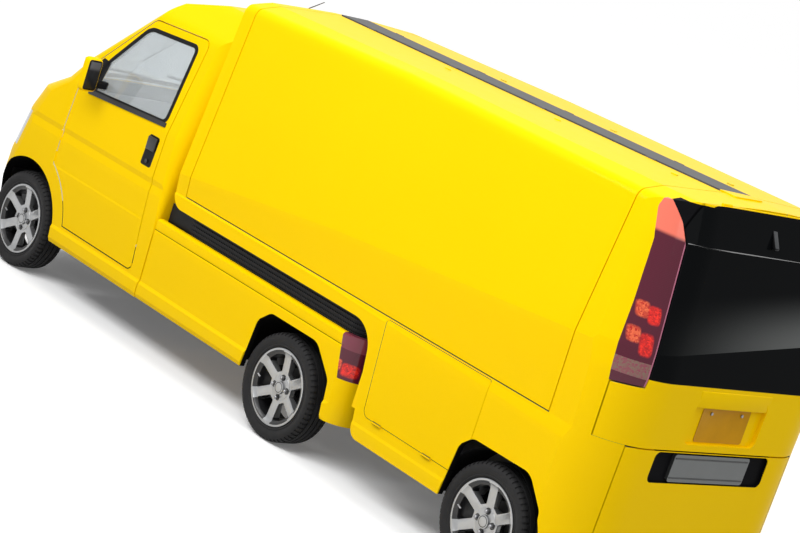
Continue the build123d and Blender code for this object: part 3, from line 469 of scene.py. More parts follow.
skirt_black = Finish("skirt_black", (0.004, 0.004, 0.0045), Specular_IOR_Level=0.12)
# Painted highlight: faces that look up, such as the rib tops, are lighter grey as if lit from above.
rib_top_highlight = skirt_black.facing()[2] > RIB_SLOPE
skirt_tone_and_highlight = skirt_black.mix(rib_top_highlight, skirt_black.shade(0.25, 60.0), RIB_HIGHLIGHT)
skirt_black.feed("Base Color", skirt_tone_and_highlight)
skirt_black.gloss(30.0, 0.12, 0.34)
skirt_black.grain(900.0, 2.0, 0.0004, 0.3)

grip_grey = Finish("grip_grey", (0.11, 0.115, 0.115), Metallic=0.7)
grip_grey.feed("Base Color", grip_grey.shade(0.15, 18.0))
grip_grey.gloss(80.0, 0.10, 0.20)

glass = Finish("cab_glass", (0.80, 0.845, 0.86), Roughness=0.0, IOR=1.45, Transmission_Weight=0.74)
dark_glass = Finish("dark_glass", (0.0035, 0.004, 0.0045), Specular_IOR_Level=0.02)
_, pane_y, pane_z = dark_glass.split(dark_glass.place())
# Painted light: a grey glow just above the black band low in the glass, fading upwards and to the left.
border = PANE_BORDER - pane_y * PANE_SLANT
daylight = (1 - dark_glass.soft(pane_z, border, border + PANE_FADE)) * (pane_z > border)
daylight = daylight * (1 - dark_glass.soft(pane_y, *PANE_SIDES))
dark_glass.feed("Base Color", dark_glass.mix(daylight, dark_glass.colour, PANE_PAINTED_GLOW))
dark_glass.gloss(6.0, 0.03, 0.05)

dress(black_trim, "front_grille")
dress(skirt_black, "ribbed_skirt", *sided("door_handle"))
dress(grip_grey, "drop_gate_grip")
dress(glass, "windscreen", *sided("door_glass"))
dress(dark_glass, "rear_glass")
print("trim and glass finished")

# %% Lamp lenses
PLUM = (0.085, 0.007, 0.021)
PLUM_RIB = (0.12, 0.012, 0.034, 1.0)
ROSE = (0.26, 0.055, 0.085, 1.0)
CORAL = (0.80, 0.17, 0.11, 1.0)
CLEAR_BAND = (0.20, 0.14, 0.10, 1.0)
ROSE_EDGE_HIGHLIGHT = (0.42, 0.13, 0.20, 1.0)
BULB_RED_GLINT = (0.95, 0.030, 0.018, 1.0)
BULB_DARK = (0.42, 0.010, 0.012, 1.0)
BULB_ORANGE_GLINT = (0.85, 0.16, 0.06, 1.0)
LENS_RIBS = 45.0
FACET_SCALE = 130.0
BULB_FADE = (0.15, 1.3)


class Lens(Finish):
    """A ribbed lamp lens with faceted bulbs behind it, their bright red partly painted glint."""

    def __init__(self, name):
        super().__init__(name, PLUM, Roughness=0.10, Coat_Weight=0.15, Coat_Roughness=0.02,
                         Specular_IOR_Level=0.2)
        self.x, side, self.z = self.split(self.place())
        self.y = self.size(side)
        self.rib = self.wave("Z", LENS_RIBS)
        cells = {"Vector": self.place(), "Scale": FACET_SCALE}
        self.facet = self.split(self.node("ShaderNodeTexVoronoi", None, cells, output="Color"))[0]
        self.colour_now = self.mix(self.rib * 0.2, self.colour, PLUM_RIB)

    def tint(self, mask, colour):
        self.colour_now = self.mix(mask, self.colour_now, colour)

    def bulb(self, across, centre, height, half, tall, bright):
        u = (across - centre) * (1 / half)
        v = (self.z - height) * (1 / tall)
        far = u * u * u * u + v * v * v * v
        # The bulbs' facets are partly the lamp's own red and partly painted glint off the reflectors.
        self.tint(1 - self.soft(far, *BULB_FADE), self.mix(self.facet, BULB_DARK, bright))

    def closed(self):
        self.feed("Base Color", self.colour_now)
        self.bump(self.rib, 0.0004, 0.25)
        return self


print("lens finish ready")

# %% Tail lamps
# Place across the lens, height, half width, half height and colour of each bulb.
TAIL_BULBS = (
    (0.644, 1.447, 0.022, 0.036, BULB_ORANGE_GLINT),
    (0.604, 1.432, 0.024, 0.040, BULB_RED_GLINT),
    (0.661, 1.338, 0.022, 0.036, BULB_ORANGE_GLINT),
    (0.616, 1.306, 0.026, 0.050, BULB_RED_GLINT),
)
BED_BULBS = (
    (-0.842, 0.535, 0.034, 0.034, BULB_RED_GLINT),
    (-0.788, 0.548, 0.020, 0.028, BULB_ORANGE_GLINT),
)
CORAL_FADE = (1.692, 1.712)
CORAL_SLANT = 0.12
CLEAR_HEIGHT = (1.166, 1.233)
LENS_SLANT = 0.075
LENS_EDGE = 0.6735
BED_ROSE_FADE = (0.628, 0.632)
BED_ROSE_AMOUNT = 0.55

tail_lens = Lens("tail_lens")
tail_lens.tint(tail_lens.soft(tail_lens.z - tail_lens.y * CORAL_SLANT, *CORAL_FADE), CORAL)
clear = (tail_lens.z < CLEAR_HEIGHT[1]) * (tail_lens.z > CLEAR_HEIGHT[0])
tail_lens.tint(clear, tail_lens.mix(tail_lens.facet, CLEAR_BAND, ROSE))
for bulb in TAIL_BULBS:
    tail_lens.bulb(tail_lens.y, *bulb)
# Painted highlight: a thin rose line down the inner edge of each tall lamp.
tail_lens.tint((tail_lens.y + tail_lens.z * LENS_SLANT) < LENS_EDGE, ROSE_EDGE_HIGHLIGHT)
bed_lens = Lens("bed_lens")
bed_lens.tint(bed_lens.soft(bed_lens.z, *BED_ROSE_FADE) * BED_ROSE_AMOUNT, ROSE)
for bulb in BED_BULBS:
    bed_lens.bulb(bed_lens.x, *bulb)
dress(tail_lens.closed(), "tail_lamps")
dress(bed_lens.closed(), "bed_tail_lamps")
print("bulbs:", len(TAIL_BULBS), "in each tall lamp and", len(BED_BULBS), "in each bed lamp")

# %% Headlamps
BEAM_Y = 0.560
BEAM_Z = 0.738
BEAM_RADIUS = 0.070
BEAM_RING = (0.05, 0.05, 0.055, 1.0)
BEAM_BULB = (0.16, 0.16, 0.18, 1.0)
FLUTES = 60.0

front_lens = Finish("front_lens", (0.30, 0.31, 0.33), Metallic=0.5, Coat_Weight=0.5, Coat_Roughness=0.02)
_, lens_side, lens_z = front_lens.split(front_lens.place())
ring_y = (front_lens.size(lens_side) - BEAM_Y) * (1 / BEAM_RADIUS)
ring_z = (lens_z - BEAM_Z) * (1 / BEAM_RADIUS)
from_bulb = ring_y * ring_y + ring_z * ring_z
ring = (from_bulb < 1.0) * (from_bulb > 0.80)
lens_colour = front_lens.mix(ring, front_lens.colour, BEAM_RING)
front_lens.feed("Base Color", front_lens.mix(from_bulb < 0.12, lens_colour, BEAM_BULB))
front_lens.gloss(30.0, 0.08, 0.14)
front_lens.bump(front_lens.wave("Y", FLUTES), 0.0008, 0.35)
dress(front_lens, "headlamps")
print("headlamps finished")

# %% Rim finish
SPOKES = 6
SPOKE_EDGE = 0.60
SPOKE_SHADE_RING = (0.1500, 0.1825)
WHEEL_TURN = math.radians(30)
NUT_TURN = math.radians(45)
CAP_LINE = (0.0225, 0.0265)
NUT_SHADE_RADIUS = 0.0165
NUT_CIRCLE = 0.050
NUT_SIDE = NUT_CIRCLE * math.sqrt(0.5)
RIM_PAINTED_SHADE = (0.012, 0.012, 0.013, 1.0)
RIM_METAL = 0.8


def alloy(axle):
    """Silver rim: painted shade between the spoke ends and in the nut holes, a dark joint round the cap."""
    made = Finish(f"alloy_{axle}", (0.34, 0.345, 0.35), Metallic=RIM_METAL)
    x, _, z = made.split(made.place())
    along = x - AXLE_X[axle]
    above = z - HUB_HEIGHT
    u = along * math.cos(WHEEL_TURN) + above * math.sin(WHEEL_TURN)
    v = above * math.cos(WHEEL_TURN) - along * math.sin(WHEEL_TURN)
    reach = u * u + v * v
    angle = made.node("ShaderNodeMath", {"operation": "ARCTAN2"}, {0: v, 1: u})
    wave = made.node("ShaderNodeMath", {"operation": "COSINE"}, {0: angle * SPOKES})
    # Painted shade between the spoke ends and round the nuts; the cap line is a dark joint.
    dark = (reach > SPOKE_SHADE_RING[0] ** 2) * (reach < SPOKE_SHADE_RING[1] ** 2) * (wave < SPOKE_EDGE)
    dark = dark + (reach > CAP_LINE[0] ** 2) * (reach < CAP_LINE[1] ** 2)
    across = made.size(along * math.cos(NUT_TURN) + above * math.sin(NUT_TURN)) - NUT_SIDE
    up = made.size(above * math.cos(NUT_TURN) - along * math.sin(NUT_TURN)) - NUT_SIDE
    dark = dark + ((across * across + up * up) < NUT_SHADE_RADIUS ** 2)
    made.feed("Base Color", made.mix(dark, made.shade(0.10, 40.0), RIM_PAINTED_SHADE))
    made.feed("Metallic", RIM_METAL - made.soft(dark, 0.0, 0.5) * 0.7)
    made.gloss(60.0, 0.10, 0.28)
    made.grain(1500.0, 2.0, 0.0002, 0.15)
    return made


rim_alloy = {axle: alloy(axle) for axle in AXLES}
print("rim finishes:", list(rim_alloy))

# %% Frame, engine, cab inside and load floor
ROAD_DIRT = (0.05, 0.045, 0.04, 1.0)
LOAD_RIBS = 16.0
LOAD_SIDE = 0.688

chassis_black = Finish("chassis_black", (0.018, 0.018, 0.019))
dirty = chassis_black.mix(chassis_black.noise(12.0, 6.0) * 0.5, chassis_black.colour, ROAD_DIRT)
chassis_black.feed("Base Color", dirty)
chassis_black.gloss(20.0, 0.2, 0.55)
chassis_black.grain(160.0, 4.0, 0.0008, 0.4)

engine_metal = Finish("engine_metal", (0.16, 0.16, 0.16), Metallic=0.6)
engine_metal.feed("Base Color", engine_metal.shade(0.5, 9.0, 6.0))
engine_metal.gloss(30.0, 0.2, 0.45)
engine_metal.grain(220.0, 5.0, 0.001, 0.4)

cab_plastic = Finish("cab_plastic", (0.42, 0.425, 0.425))
cab_plastic.feed("Base Color", cab_plastic.shade(0.12, 30.0))
cab_plastic.gloss(40.0, 0.1, 0.55)
cab_plastic.grain(700.0, 3.0, 0.0006, 0.4)

load_mat = Finish("load_floor", (0.16, 0.16, 0.155), Specular_IOR_Level=0.1)
load_edge = load_mat.size(load_mat.split(load_mat.place())[1]) > LOAD_SIDE
load_mat.feed("Base Color", load_mat.mix(load_edge, load_mat.shade(0.25, 7.0, 6.0), (*YELLOW, 1.0)))
load_mat.gloss(30.0, 0.15, 0.6)
load_mat.bump(load_mat.wave("Y", LOAD_RIBS), 0.002, 0.5)

dress(chassis_black, "chassis_frame", "middle_axle", "rear_axle", *sided("knuckle"))
dress(engine_metal, "engine_block")
dress(cab_plastic, "dashboard")
dress(load_mat, "box_floor")
dress(black_trim, "steering_wheel")
print("frame, engine, cab and load floor finished")

# %% [markdown]
# ## A small kit for modelling
#
# Each new piece starts as a primitive, is shaped in edit mode and is finished with modifiers. These
# helpers keep the steps short: start a primitive with nothing else selected, choose faces by a test,
# apply a modifier, copy a piece to the other side and finish it on its body.


# %% Modelling helpers
@contextmanager
def editing(piece):
    """Edit mode on one piece, with nothing else selected."""
    only(piece)
    bpy.ops.object.mode_set(mode="EDIT")
    yield
    bpy.ops.object.mode_set(mode="OBJECT")


def only(piece):
    bpy.ops.object.select_all(action="DESELECT")
    piece.select_set(True)
    bpy.context.view_layer.objects.active = piece


def started(name, add, **options):
    """A new primitive, named, with nothing else selected."""
    bpy.ops.object.select_all(action="DESELECT")
    add(**options)
    piece = bpy.context.object
    piece.name = name
    piece.data.name = name
    return piece


def choose(piece, kind, test):
    """Select the vertices, edges or faces that pass a test, in edit mode."""
    bpy.ops.mesh.select_mode(type=kind)
    bpy.ops.mesh.select_all(action="DESELECT")
    mesh = bmesh.from_edit_mesh(piece.data)
    for item in {"VERT": mesh.verts, "EDGE": mesh.edges, "FACE": mesh.faces}[kind]:
        item.select_set(bool(test(item)))
    mesh.select_flush_mode()
    bmesh.update_edit_mesh(piece.data)


def applied(piece, kind, **settings):
    """Add a modifier, set it and apply it."""
    only(piece)
    made = piece.modifiers.new(kind.lower(), kind)
    for key, value in settings.items():
        setattr(made, key, value)
    bpy.ops.object.modifier_apply(modifier=made.name)
    return piece


def settled(piece):
    """Put the piece's place into its mesh."""
    only(piece)
    bpy.ops.object.transform_apply(location=True, rotation=True, scale=True)
    return piece


def copied(piece, name, move=(0.0, 0.0, 0.0), flip=False):
    """A copy with its own mesh, moved and, if asked, turned over to the other side."""
    only(piece)
    bpy.ops.object.duplicate()
    made = bpy.context.object
    made.name = name
    made.data.name = name
    side = Matrix.Diagonal((1.0, -1.0, 1.0, 1.0)) if flip else Matrix.Identity(4)
    made.data.transform(Matrix.Translation(move) @ side)
    if flip:
        made.data.flip_normals()
    return made


def joined(name, parts):
    """Several parts as one piece."""
    bpy.ops.object.select_all(action="DESELECT")
    for part in parts:
        part.select_set(True)
    bpy.context.view_layer.objects.active = parts[0]
    bpy.ops.object.join()
    parts[0].name = name
    parts[0].data.name = name
    return parts[0]


def finished(piece, finish, body, smooth=35.0):
    """Smooth a piece, give it its finish and let it ride."""
    settled(piece)
    bpy.ops.object.shade_smooth_by_angle(angle=math.radians(smooth))
    piece.data.materials.clear()
    piece.data.materials.append(finish.material)
    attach(piece, body)
    return piece


def paired(left, finish, body, smooth=35.0):
    """Finish a left piece and its mirrored copy, each on its own side's body."""
    right = copied(left, left.name.replace("_left", "_right"), flip=True)
    finished(right, finish, body.replace("_left", "_right"), smooth)
    finished(left, finish, body, smooth)
    return left, right


def ring_of(name, points):
    """A ring of vertices laid on given points, as the start of a profile or an outline."""
    piece = started(name, bpy.ops.mesh.primitive_circle_add, vertices=len(points), fill_type="NOTHING")
    for vertex, point in zip(piece.data.vertices, points):
        vertex.co = point
    return piece


def turned(name, rows, steps):
    """A closed profile of radius and width, spun once round."""
    piece = ring_of(name, [(radius, width, 0.0) for radius, width in rows])
    with editing(piece):
        bpy.ops.mesh.select_all(action="SELECT")
        bpy.ops.mesh.spin(steps=steps, angle=2 * math.pi, center=(0, 0, 0), axis=(0, 1, 0))
        bpy.ops.mesh.select_all(action="SELECT")
        bpy.ops.mesh.remove_doubles(threshold=1e-5)
        bpy.ops.mesh.normals_make_consistent(inside=False)
    return piece


def slab(name, size, place, bevel, segments=3):
    """A block at its size and place with all edges rounded."""
    piece = started(name, bpy.ops.mesh.primitive_cube_add, size=1.0, location=place, scale=size)
    settled(piece)
    with editing(piece):
        bpy.ops.mesh.select_all(action="SELECT")
        bpy.ops.mesh.bevel(offset=bevel, segments=segments, affect="EDGES")
    return piece


def laid(name, rows, corner, axis, start, targets, band=None, thick=0.003, lift=0.0008, reach=0.04):
    """A flat outline, or a band round it, pressed along an axis on to the solids behind it."""
    across = {"Y": lambda u, v: (u, start, v), "X": lambda u, v: (start, u, v)}[axis]
    piece = ring_of(name, [across(u, v) for u, v in rows])
    with editing(piece):
        bpy.ops.mesh.select_all(action="SELECT")
        if corner:
            bpy.ops.mesh.bevel(offset=corner, segments=6, affect="VERTICES")
            bpy.ops.mesh.select_all(action="SELECT")
        bpy.ops.mesh.edge_face_add()
        if band:
            bpy.ops.mesh.inset(thickness=band)
            bpy.ops.mesh.delete(type="FACE")
        else:
            bpy.ops.mesh.quads_convert_to_tris()
        for _ in range(5):
            choose(piece, "EDGE", lambda edge: edge.calc_length() > reach)
            if piece.data.total_edge_sel:
                bpy.ops.mesh.subdivide(number_cuts=1)
    settings = {"target": targets[0], "wrap_method": "PROJECT", "offset": lift}
    if len(targets) > 1:
        settings["auxiliary_target"] = targets[1]
    settings["use_project_x"] = axis == "X"
    settings["use_project_y"] = axis == "Y"
    settings["use_project_z"] = False
    settings["use_negative_direction"] = start > 0
    settings["use_positive_direction"] = start < 0
    applied(piece, "SHRINKWRAP", **settings)
    applied(piece, "SOLIDIFY", thickness=thick, offset=0.0)
    return piece


print("modelling kit ready")

# %% [markdown]
# ## Tyres
#
# A car tyre has a rounded shoulder, a raised guard near the rim, long grooves round the tread and short
# cuts across the shoulder blocks. The section is laid out once as half widths by radius, mirrored, and
# spun round the axle. The cuts are every third face of the shoulder, pushed in.

# %% Tyre
TYRE_HALF = (
    # radius, half width
    (0.1786, 0.0650), (0.1930, 0.0655), (0.2000, 0.0705), (0.2030, 0.0740), (0.2065, 0.0745),
    (0.2095, 0.0725), (0.2230, 0.0795), (0.2360, 0.0822), (0.2450, 0.0812), (0.2530, 0.0772),
    (0.2595, 0.0722), (0.2645, 0.0655), (0.2668, 0.0570), (0.2678, 0.0475), (0.2615, 0.0465),
    (0.2615, 0.0400), (0.2681, 0.0390), (0.2684, 0.0190), (0.2618, 0.0180), (0.2618, 0.0115),
    (0.2684, 0.0105),
)
TYRE_STEPS = 180
CUT_EVERY = 3
CUT_DEPTH = 0.0045
CUT_FROM = 0.0480
CUT_TO = 0.0770
CUT_RADIUS = 0.255
RUBBER_DUST = (0.028, 0.027, 0.026, 1.0)

rubber = Finish("tyre_rubber", (0.010, 0.010, 0.011), Specular_IOR_Level=0.2)
rubber.feed("Base Color", rubber.mix(rubber.noise(26.0, 6.0) * 0.45, rubber.colour, RUBBER_DUST))
rubber.gloss(40.0, 0.15, 0.62)
rubber.grain(600.0, 3.0, 0.0005, 0.35)

tyre_rows = TYRE_HALF + tuple((radius, -width) for radius, width in reversed(TYRE_HALF))
tyre = turned("tyre_pattern", tyre_rows, TYRE_STEPS)


def is_cut(face):
    """One shoulder face in every few."""
    middle = face.calc_center_median()
    radius = math.hypot(middle.x, middle.z)
    column = int((math.atan2(middle.z, middle.x) + math.pi) / (2 * math.pi) * TYRE_STEPS)
    return radius > CUT_RADIUS and CUT_FROM < abs(middle.y) < CUT_TO and column % CUT_EVERY == 0


with editing(tyre):
    choose(tyre, "FACE", is_cut)
    bpy.ops.mesh.extrude_region_shrink_fatten(TRANSFORM_OT_shrink_fatten={"value": -CUT_DEPTH})

WHEELS = [(axle, side) for axle in AXLES for side in SIDES]
for axle, side in WHEELS:
    shown = copied(tyre, f"treaded_tyre_{axle}_{side}", (AXLE_X[axle], WHEEL_Y[side], HUB_HEIGHT))
    finished(shown, rubber, f"wheel_{axle}_{side}", 30.0)
    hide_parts(f"tyre_{axle}_{side}")
bpy.data.objects.remove(tyre)
print("tyres:", len(WHEELS), "with", len(shown.data.polygons), "faces each")

# %% [markdown]
# ## Rims
#
# The solid rims stand with a spoke level. The wheels in the picture have rolled a twelfth of a turn
# further, so each rim here is a copy of its solid, merged, turned about its own axle and given narrow
# rounded edges.

# %% Turned rims
RIM_EDGE = 0.002
FLAT_ANGLE = math.radians(2)
EDGE_ANGLE = math.radians(50)

for axle, side in WHEELS:
    rim = started(f"alloy_rim_{axle}_{side}", bpy.ops.mesh.primitive_circle_add, vertices=3)
    blank = rim.data
    rim.data = nodes[f"rim_{axle}_{side}"].data.copy()
    bpy.data.meshes.remove(blank)
    rim.data.name = rim.name
    hub = Vector((AXLE_X[axle], 0.0, HUB_HEIGHT))
    turn = Matrix.Rotation(-WHEEL_TURN, 4, "Y")
    rim.data.transform(Matrix.Translation(hub) @ turn @ Matrix.Translation(-hub))
    with editing(rim):
        bpy.ops.mesh.select_all(action="SELECT")
        bpy.ops.mesh.remove_doubles(threshold=1e-5)
        bpy.ops.mesh.dissolve_limited(angle_limit=FLAT_ANGLE)
    applied(rim, "BEVEL", width=RIM_EDGE, segments=2, limit_method="ANGLE", angle_limit=EDGE_ANGLE)
    finished(rim, rim_alloy[axle], f"wheel_{axle}_{side}", 30.0)
    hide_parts(f"rim_{axle}_{side}")
print("rims:", len(WHEELS), "with", len(rim.data.polygons), "faces each")

# %% [markdown]
# ## Wheel nuts and valves
#
# Each wheel has four hexagon nuts on a 100 mm circle and a short valve near its edge. One nut is
# modelled from a six-sided cylinder, with its top drawn in to a dome, and copied.

# %% Wheel nuts
NUT_COUNT = 4
NUT_RADIUS = 0.0092
NUT_HEIGHT = 0.016
HUB_FACE = 0.048
# How far the top of a nut is drawn in, and how far it rises, step by step.
NUT_DOME = ((0.0022, 0.003), (0.003, 0.0015))
VALVE_CIRCLE = 0.163
VALVE_LEAN = 0.35

nut_metal = Finish("nut_metal", (0.30, 0.30, 0.31), Metallic=0.9)
nut_metal.feed("Base Color", nut_metal.shade(0.3, 90.0))
nut_metal.gloss(120.0, 0.15, 0.3)


def wheel_nuts(name):
    """Four nuts and a valve about the wheel's own centre, facing +Y."""
    parts = []
    for i in range(NUT_COUNT):
        angle = math.radians(45 + 360 / NUT_COUNT * i) + NUT_TURN
        place = (NUT_CIRCLE * math.cos(angle), HUB_FACE + NUT_HEIGHT / 2, NUT_CIRCLE * math.sin(angle))
        nut = started("nut", bpy.ops.mesh.primitive_cylinder_add, vertices=6, radius=NUT_RADIUS,
                      depth=NUT_HEIGHT, location=place, rotation=(math.pi / 2, 0.0, 0.0))
        settled(nut)
        with editing(nut):
            choose(nut, "FACE", lambda face: face.normal.y > 0.9)
            for inset, rise in NUT_DOME:
                bpy.ops.mesh.inset(thickness=inset)
                bpy.ops.transform.translate(value=(0.0, rise, 0.0))
        parts.append(nut)
    valve = started("valve", bpy.ops.mesh.primitive_cylinder_add, vertices=12, radius=0.0045, depth=0.030,
                    location=(VALVE_CIRCLE, 0.060, 0.0),
                    rotation=(math.pi / 2 - VALVE_LEAN, 0.0, math.pi / 2))
    settled(valve)
    with editing(valve):
        choose(valve, "FACE", lambda face: len(face.verts) > 4)
        bpy.ops.mesh.inset(thickness=0.0015)
    return joined(name, parts + [valve])


nuts = wheel_nuts("nut_pattern")
for axle, side in WHEELS:
    place = (AXLE_X[axle], WHEEL_Y[side], HUB_HEIGHT)
    shown = copied(nuts, f"wheel_nuts_{axle}_{side}", place, flip=side == "right")
    finished(shown, nut_metal, f"wheel_{axle}_{side}", 30.0)
bpy.data.objects.remove(nuts)
print("wheel nuts on", len(WHEELS), "wheels")

# %% [markdown]
# ## Rear end
#
# The tailgate carries a blank amber plate on two bolts, a small fin on the black panel over the glass and
# a thin bright joint line between the two. The plate has a rolled edge: its outer face is inset and
# pushed in a little.

# %% Plate and bolts
PLATE_X = -2.4630
PLATE_SIZE = (0.0016, 0.330, 0.160)
PLATE_HEIGHT = 0.990
BOLT_SPREAD = 0.105
BOLT_HEIGHT = 1.045
BOLT_RADIUS = 0.0075
BOLT_DEPTH = 0.007

plate_amber = Finish("plate_amber", (0.60, 0.29, 0.005), Specular_IOR_Level=0.1)
plate_amber.feed("Base Color", plate_amber.shade(0.25, 14.0, 5.0))
plate_amber.gloss(60.0, 0.12, 0.35)

plate = started("number_plate", bpy.ops.mesh.primitive_cube_add, size=1.0, scale=PLATE_SIZE,
                location=(PLATE_X, 0.0, PLATE_HEIGHT))
settled(plate)
with editing(plate):
    choose(plate, "EDGE", lambda edge: abs(edge.verts[0].co.x - edge.verts[1].co.x) > 0.001)
    bpy.ops.mesh.bevel(offset=0.012, segments=5, affect="EDGES")
    choose(plate, "FACE", lambda face: face.normal.x < -0.9)
    bpy.ops.mesh.inset(thickness=0.004)
    bpy.ops.mesh.inset(thickness=0.002)
    bpy.ops.transform.translate(value=(0.0006, 0.0, 0.0))
finished(plate, plate_amber, "tailgate", 30.0)

bolts = []
for side in (1, -1):
    bolt = started("bolt", bpy.ops.mesh.primitive_cylinder_add, vertices=6, radius=BOLT_RADIUS,
                   depth=BOLT_DEPTH, rotation=(0.0, math.pi / 2, 0.0),
                   location=(PLATE_X - BOLT_DEPTH / 2, side * BOLT_SPREAD, BOLT_HEIGHT))
    settled(bolt)
    with editing(bolt):
        choose(bolt, "FACE", lambda face: face.normal.x < -0.9)
        bpy.ops.mesh.inset(thickness=0.0015)
        bpy.ops.transform.translate(value=(-0.0012, 0.0, 0.0))
    bolts.append(bolt)
finished(joined("plate_bolts", bolts), nut_metal, "tailgate", 30.0)
print("plate on", len(bolts), "bolts")

# %% Fin and joint line
BEHIND_VAN = -2.60
JOINT_HALF = 0.53
JOINT_HEIGHT = (1.7585, 1.7625)
FIN_ROWS = ((-2.397, 1.800), (-2.372, 1.874), (-2.378, 1.874), (-2.420, 1.806), (-2.418, 1.798))
FIN_HALF = 0.014


def strip_rows(half, low, high):
    """Corners of a level strip about the middle of the van."""
    return (-half, low), (half, low), (half, high), (-half, high)


fin = ring_of("roof_fin", [(x, FIN_HALF, z) for x, z in FIN_ROWS])
with editing(fin):
    bpy.ops.mesh.select_all(action="SELECT")
    bpy.ops.mesh.edge_face_add()
    bpy.ops.mesh.extrude_region_move(TRANSFORM_OT_translate={"value": (0.0, -2 * FIN_HALF, 0.0)})
    bpy.ops.mesh.select_all(action="SELECT")
    bpy.ops.mesh.normals_make_consistent(inside=False)
    bpy.ops.mesh.bevel(offset=0.003, segments=2, affect="EDGES")
finished(fin, skirt_black, "tailgate", 30.0)

bright_line = Finish("bright_line", (0.30, 0.30, 0.30), Metallic=0.6)
bright_line.feed("Base Color", bright_line.shade(0.2, 30.0))
bright_line.gloss(40.0, 0.1, 0.3)
joint_line = laid("glass_joint_line", strip_rows(JOINT_HALF, *JOINT_HEIGHT), 0.0, "X", BEHIND_VAN,
                  [nodes["rear_glass"]], thick=0.002, lift=0.0004)
finished(joint_line, bright_line, "tailgate", 30.0)
print("fin and joint line on the tailgate")

# %% Plate hood and grip lines
HOOD_SIZE = (0.026, 0.490, 0.082)
HOOD_PLACE = (-2.4768, 0.0, 1.113)
HOOD_LIP = (-2.480, 1.082)
HOOD_DRAW = 0.007
GRIP_LINES = (0.736, 0.828)
GRIP_LINE_HALF = 0.25
GRIP_LINE_TALL = 0.006

hood = slab("plate_hood", HOOD_SIZE, HOOD_PLACE, 0.005)
with editing(hood):
    choose(hood, "VERT", lambda vert: vert.co.z < HOOD_LIP[1] and vert.co.x < HOOD_LIP[0])
    bpy.ops.transform.translate(value=(HOOD_DRAW, 0.0, 0.0))
finished(hood, tailgate_paint, "tailgate")

grip_lines = []
for height in GRIP_LINES:
    rows = strip_rows(GRIP_LINE_HALF, height, height + GRIP_LINE_TALL)
    grip_lines.append(laid("grip_line", rows, 0.0, "X", BEHIND_VAN, [nodes["drop_gate_grip"]], lift=0.0004))
finished(joined("grip_lines", grip_lines), black_trim, "drop_gate")
print("hood over the plate and two lines on the grip")

# %% [markdown]
# ## Door windows, mirrors and aerial
#
# A rubber seal runs round each door glass, with a wider moulding along the bottom. Both are drawn flat
# from the side and pressed on to the door by a Shrinkwrap modifier, so they follow its curve. Each mirror
# is a rounded shell on a short arm, yellow in front and black behind, with dark glass facing back. A
# raked aerial stands on the cab roof.

# %% Window seals and mouldings
BESIDE_DOOR = 0.90
# Outlines by distance from the front axle and height.
SEAL_ROWS = ((-0.310, 1.106), (-0.331, 1.281), (-0.547, 1.560), (-0.986, 1.585), (-1.013, 1.146))
MOULDING_ROWS = ((-0.306, 1.094), (-0.308, 1.118), (-1.014, 1.158), (-1.016, 1.134))
SAIL_ROWS = ((-0.218, 1.104), (-0.222, 1.150), (-0.284, 1.274), (-0.305, 1.300), (-0.372, 1.292),
             (-0.360, 1.104))


def on_door(name, rows, corner, **options):
    """A flat outline pressed on to the left door and its glass."""
    behind = [nodes["door_left"], nodes["door_glass_left"]]
    placed = [(FRONT_AXLE + u, v) for u, v in rows]
    return laid(name, placed, corner, "Y", BESIDE_DOOR, behind, lift=0.0, **options)


seal = on_door("window_seal_left", SEAL_ROWS, 0.045, band=0.022, thick=0.006)
moulding = on_door("belt_moulding_left", MOULDING_ROWS, 0.0, thick=0.012)
sail = on_door("door_sail_left", SAIL_ROWS, 0.0, thick=0.006)
paired(sail, skirt_black, "door_left")
paired(seal, skirt_black, "door_left")
paired(moulding, black_trim, "door_left")
print("window seals, mouldings and mirror sails on both doors")

# %% Mirrors
MIRROR_HEAD = Vector((1.5945, 0.8370, 1.224))
MIRROR_SIZE = (0.066, 0.104, 0.186)
MIRROR_ROUND = 0.026
HEAD_FRONT = 0.015
HEAD_TAPER = (1.0, 0.76, 0.78)
GLASS_SIZE = (0.004, 0.066, 0.146)
GLASS_PLACE = (1.5635, 0.8370, 1.224)
GLASS_FADE = (1.245, 1.268)
MIRROR_PAINTED_REFLECTION = (0.10, 0.10, 0.11, 1.0)
ARM_SIZE = (0.046, 0.112, 0.040)
ARM_PLACE = (1.612, 0.749, 1.173)
ARM_END = 0.784
BACK_SLOPE = -0.80

mirror_silver = Finish("mirror_silver", (0.014, 0.014, 0.016), Specular_IOR_Level=0.25)
# Painted reflection: the mirror glass is lighter grey in its upper part.
painted_reflection = mirror_silver.soft(mirror_silver.split(mirror_silver.place())[2], *GLASS_FADE)
mirror_silver.feed("Base Color", mirror_silver.mix(painted_reflection, mirror_silver.colour, MIRROR_PAINTED_REFLECTION))
mirror_silver.gloss(8.0, 0.02, 0.05)
mirror_shell = paint("mirror_shell")
shell_back = mirror_shell.facing()[0] < BACK_SLOPE
shell_arm = mirror_shell.size(mirror_shell.split(mirror_shell.place())[1]) < ARM_END
shell_black = mirror_shell.soft(shell_back + shell_arm, 0.0, 0.5)
shell_colour = mirror_shell.mix(shell_black, mirror_shell.fed("Base Color"), black_trim.colour)
mirror_shell.feed("Base Color", shell_colour)

